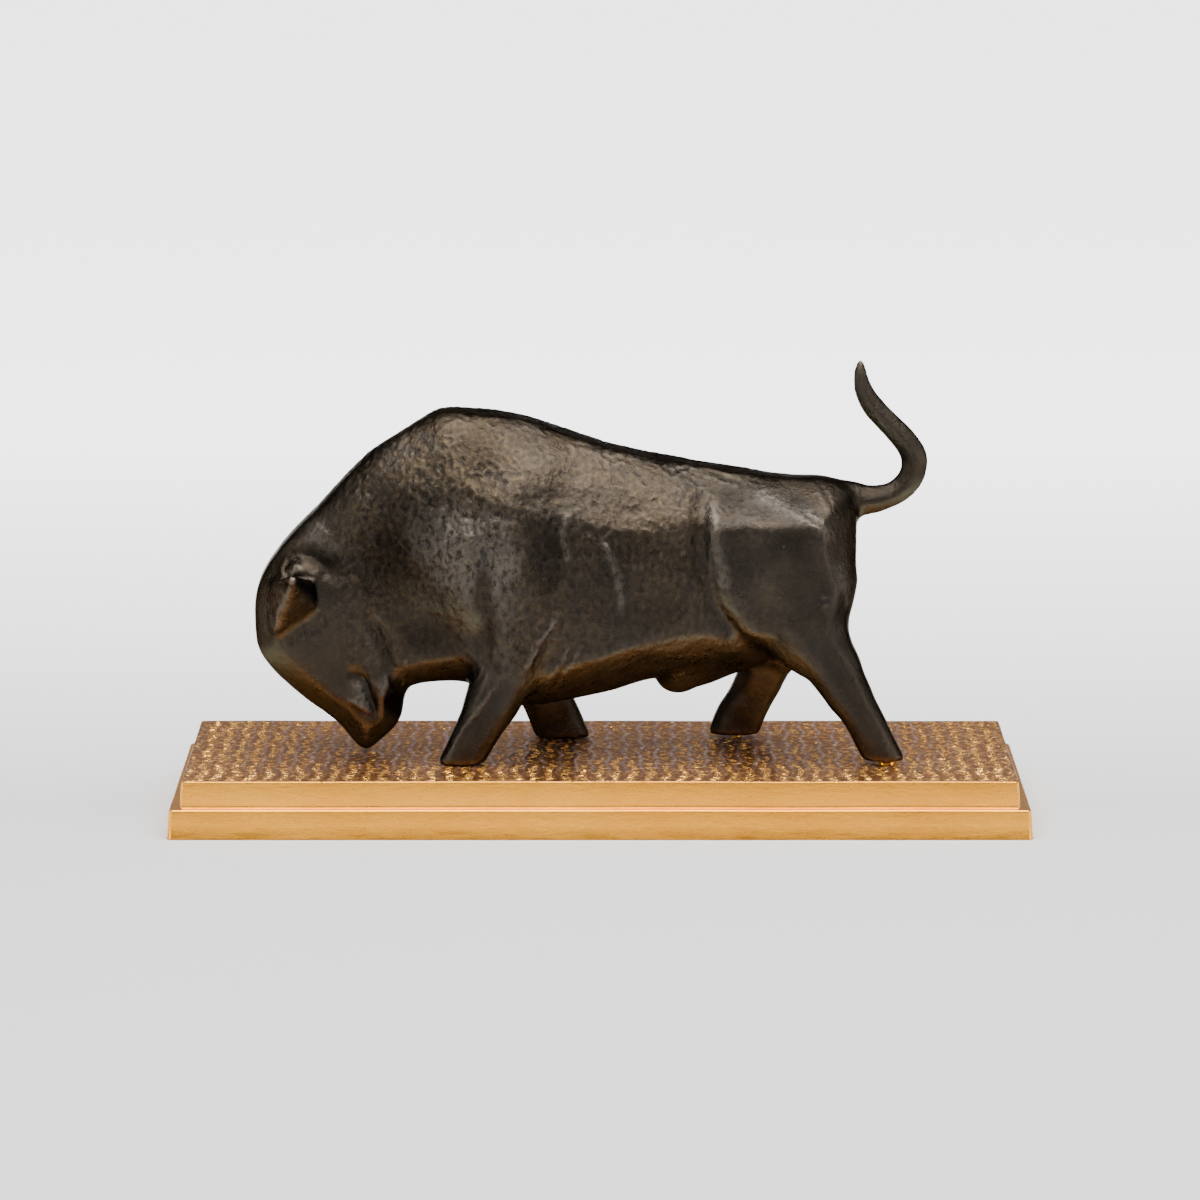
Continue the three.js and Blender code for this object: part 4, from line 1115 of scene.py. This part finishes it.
        inside = smooth_step(0.0, 0.002, edge)
        height = self.rib_height * ridge + self.stroke_depth * (strokes + 0.5 * cuts) * (0.5 + 0.5 * channel)
        return inside * (height - 0.0001), np.clip(gilt, 0.0, 1.0), np.clip(silver, 0.0, 1.0)

    def add_peg(self, place: Point, radius: float, top: float) -> None:
        """Adds a peg that carries a hind hoof.

        Args:
            place: where the peg stands.
            radius: its radius.
            top: the height of the plinth's top.
        """
        steps = self.peg_steps
        first = len(self.verts)
        high = top + self.peg_height
        for reach, z in ((radius, top - 0.001), (radius, high - 0.0003), (radius - 0.0003, high)):
            for i in range(steps):
                angle = 2 * math.pi * i / steps
                self.verts.append((place[0] + reach * math.cos(angle), place[1] + reach * math.sin(angle), z))
        self.add_band(first, steps)
        self.add_band(first + steps, steps)
        self.faces.append(tuple(first + 2 * steps + i for i in range(steps)))
        self.faces.append(tuple(first + i for i in reversed(range(steps))))

    def dress(self, plinth: Object, finish: Material) -> None:
        """Gives the plinth its finish and its place in the frame."""
        plinth.data.materials.append(finish)
        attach(plinth, "root")
        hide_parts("plinth")


@dataclass
class Softbox:
    """A soft rectangular light aimed at a point.

    Attributes:
        name: its name.
        place: where it hangs, in metres.
        aim: the point it faces.
        size: its width and height, in metres.
        power: its power, in watts.
    """

    name: str
    place: Place
    aim: Place
    size: tuple[float, float]
    power: float

    def hang(self) -> None:
        """Adds the light to the scene."""
        data = bpy.data.lights.new(self.name, "AREA")
        data.shape = "RECTANGLE"
        data.size, data.size_y = self.size
        data.energy = self.power
        turned = (Vector(self.aim) - Vector(self.place)).to_track_quat("-Z", "Y")
        light = placed(self.name, data)
        light.matrix_world = Matrix.Translation(self.place) @ turned.to_matrix().to_4x4()


@dataclass
class Studio:
    """The pale floor, the soft lights and the camera.

    Attributes:
        target: the point that the camera looks at, in metres.
        distance: its distance from that point.
        pitch: how far it looks down, in degrees.
        lens: its focal length, in millimetres on a 36 mm sensor.
        floor_reach: half the floor's width.
        floor: the floor's colour.
        glow: how brightly the floor glows under the object and far behind it.
        glow_depth: how far behind the object its glow is full, in metres.
        sky: the strength of the white light all round.
        lights: the softboxes.
    """

    target: Place = (0.0, 0.0, 0.0766)
    distance: float = 2.153
    pitch: float = 10.35
    lens: float = 176.4
    floor_reach: float = 30.0
    floor: Colour = (0.52, 0.52, 0.52)
    glow: tuple[float, float] = (0.15, 3.2)
    glow_depth: float = 0.9
    sky: float = 0.36
    lights: list[Softbox] = field(default_factory=lambda: [
        Softbox("overhead", (0.1, -0.36, 1.3), (0.1, -0.34, 0.05), (1.9, 1.3), 70.0),
        Softbox("front_high", (0.0, -2.1, 1.45), (0.0, 0.0, 0.08), (2.4, 0.9), 26.0),
        Softbox("left", (-1.55, -0.55, 0.42), (0.0, 0.0, 0.08), (0.7, 0.8), 8.0),
        Softbox("right", (1.6, -0.45, 0.42), (0.0, 0.0, 0.08), (0.7, 0.8), 8.0),
    ])

    def build(self) -> None:
        """Lays the floor, hangs the lights and sets up the camera."""
        self.lay_floor()
        self.light_room()
        self.set_camera()

    def lay_floor(self) -> None:
        """Lays the pale floor, with a painted glow that is dim under the object and bright far behind it."""
        reach = self.floor_reach
        corners = [(-reach, -reach, 0), (reach, -reach, 0), (reach, reach, 0), (-reach, reach, 0)]
        mesh = bpy.data.meshes.new("pale_floor")
        mesh.from_pydata(corners, [], [(0, 1, 2, 3)])
        floor = placed("pale_floor", mesh)
        material, tree, shader = new_material("pale_floor")
        place = tree.place()
        depth = tree.add("ShaderNodeSeparateXYZ", Vector=place).outputs["Y"]
        tree.feed(shader, "Base Color", straight(self.floor))
        tree.feed(shader, "Roughness", 0.9)
        tree.feed(shader, "Specular IOR Level", 0.1)
        tree.feed(shader, "Emission Color", straight(WHITE))
        # painted light: the floor glows, dim under the object and bright far behind it
        tree.feed(shader, "Emission Strength", tree.mapped(depth, 0.0, self.glow_depth, *self.glow))
        mesh.materials.append(material)

    def light_room(self) -> None:
        """Sets the light all round and hangs the softboxes."""
        world = bpy.data.worlds.new("soft_room")
        world.use_nodes = True
        background = world.node_tree.nodes["Background"]
        background.inputs["Color"].default_value = straight(WHITE)
        background.inputs["Strength"].default_value = self.sky
        bpy.context.scene.world = world
        for softbox in self.lights:
            softbox.hang()

    def set_camera(self) -> None:
        """Places the camera at the photograph's viewing angle."""
        data = bpy.data.cameras.new("camera")
        data.lens = self.lens
        data.sensor_width = 36.0
        data.clip_end = 100.0
        camera = placed("camera", data)
        angle = math.radians(self.pitch)
        away = Vector((0.0, -math.cos(angle), math.sin(angle))) * self.distance
        place = Vector(self.target) + away
        camera.matrix_world = Matrix.Translation(place) @ Matrix.Rotation(math.pi / 2 - angle, 4, "X")
        bpy.context.scene.camera = camera


def main() -> None:
    """Loads the frame, builds the studio, the bull and the plinth."""
    logging.basicConfig(level=logging.INFO, format="%(name)s: %(message)s")
    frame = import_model()
    Studio().build()
    LOG.info("studio: floor, lights and camera")
    surface = CastSurface()
    bull = CastBull()
    bull.dress(bull.build(frame["nodes"]["bull"]), BronzePatina().material(surface))
    plinth = ChiselledPlinth()
    plinth.dress(plinth.build(), AntiqueGold().material(surface))


if __name__ == "__main__":
    main()
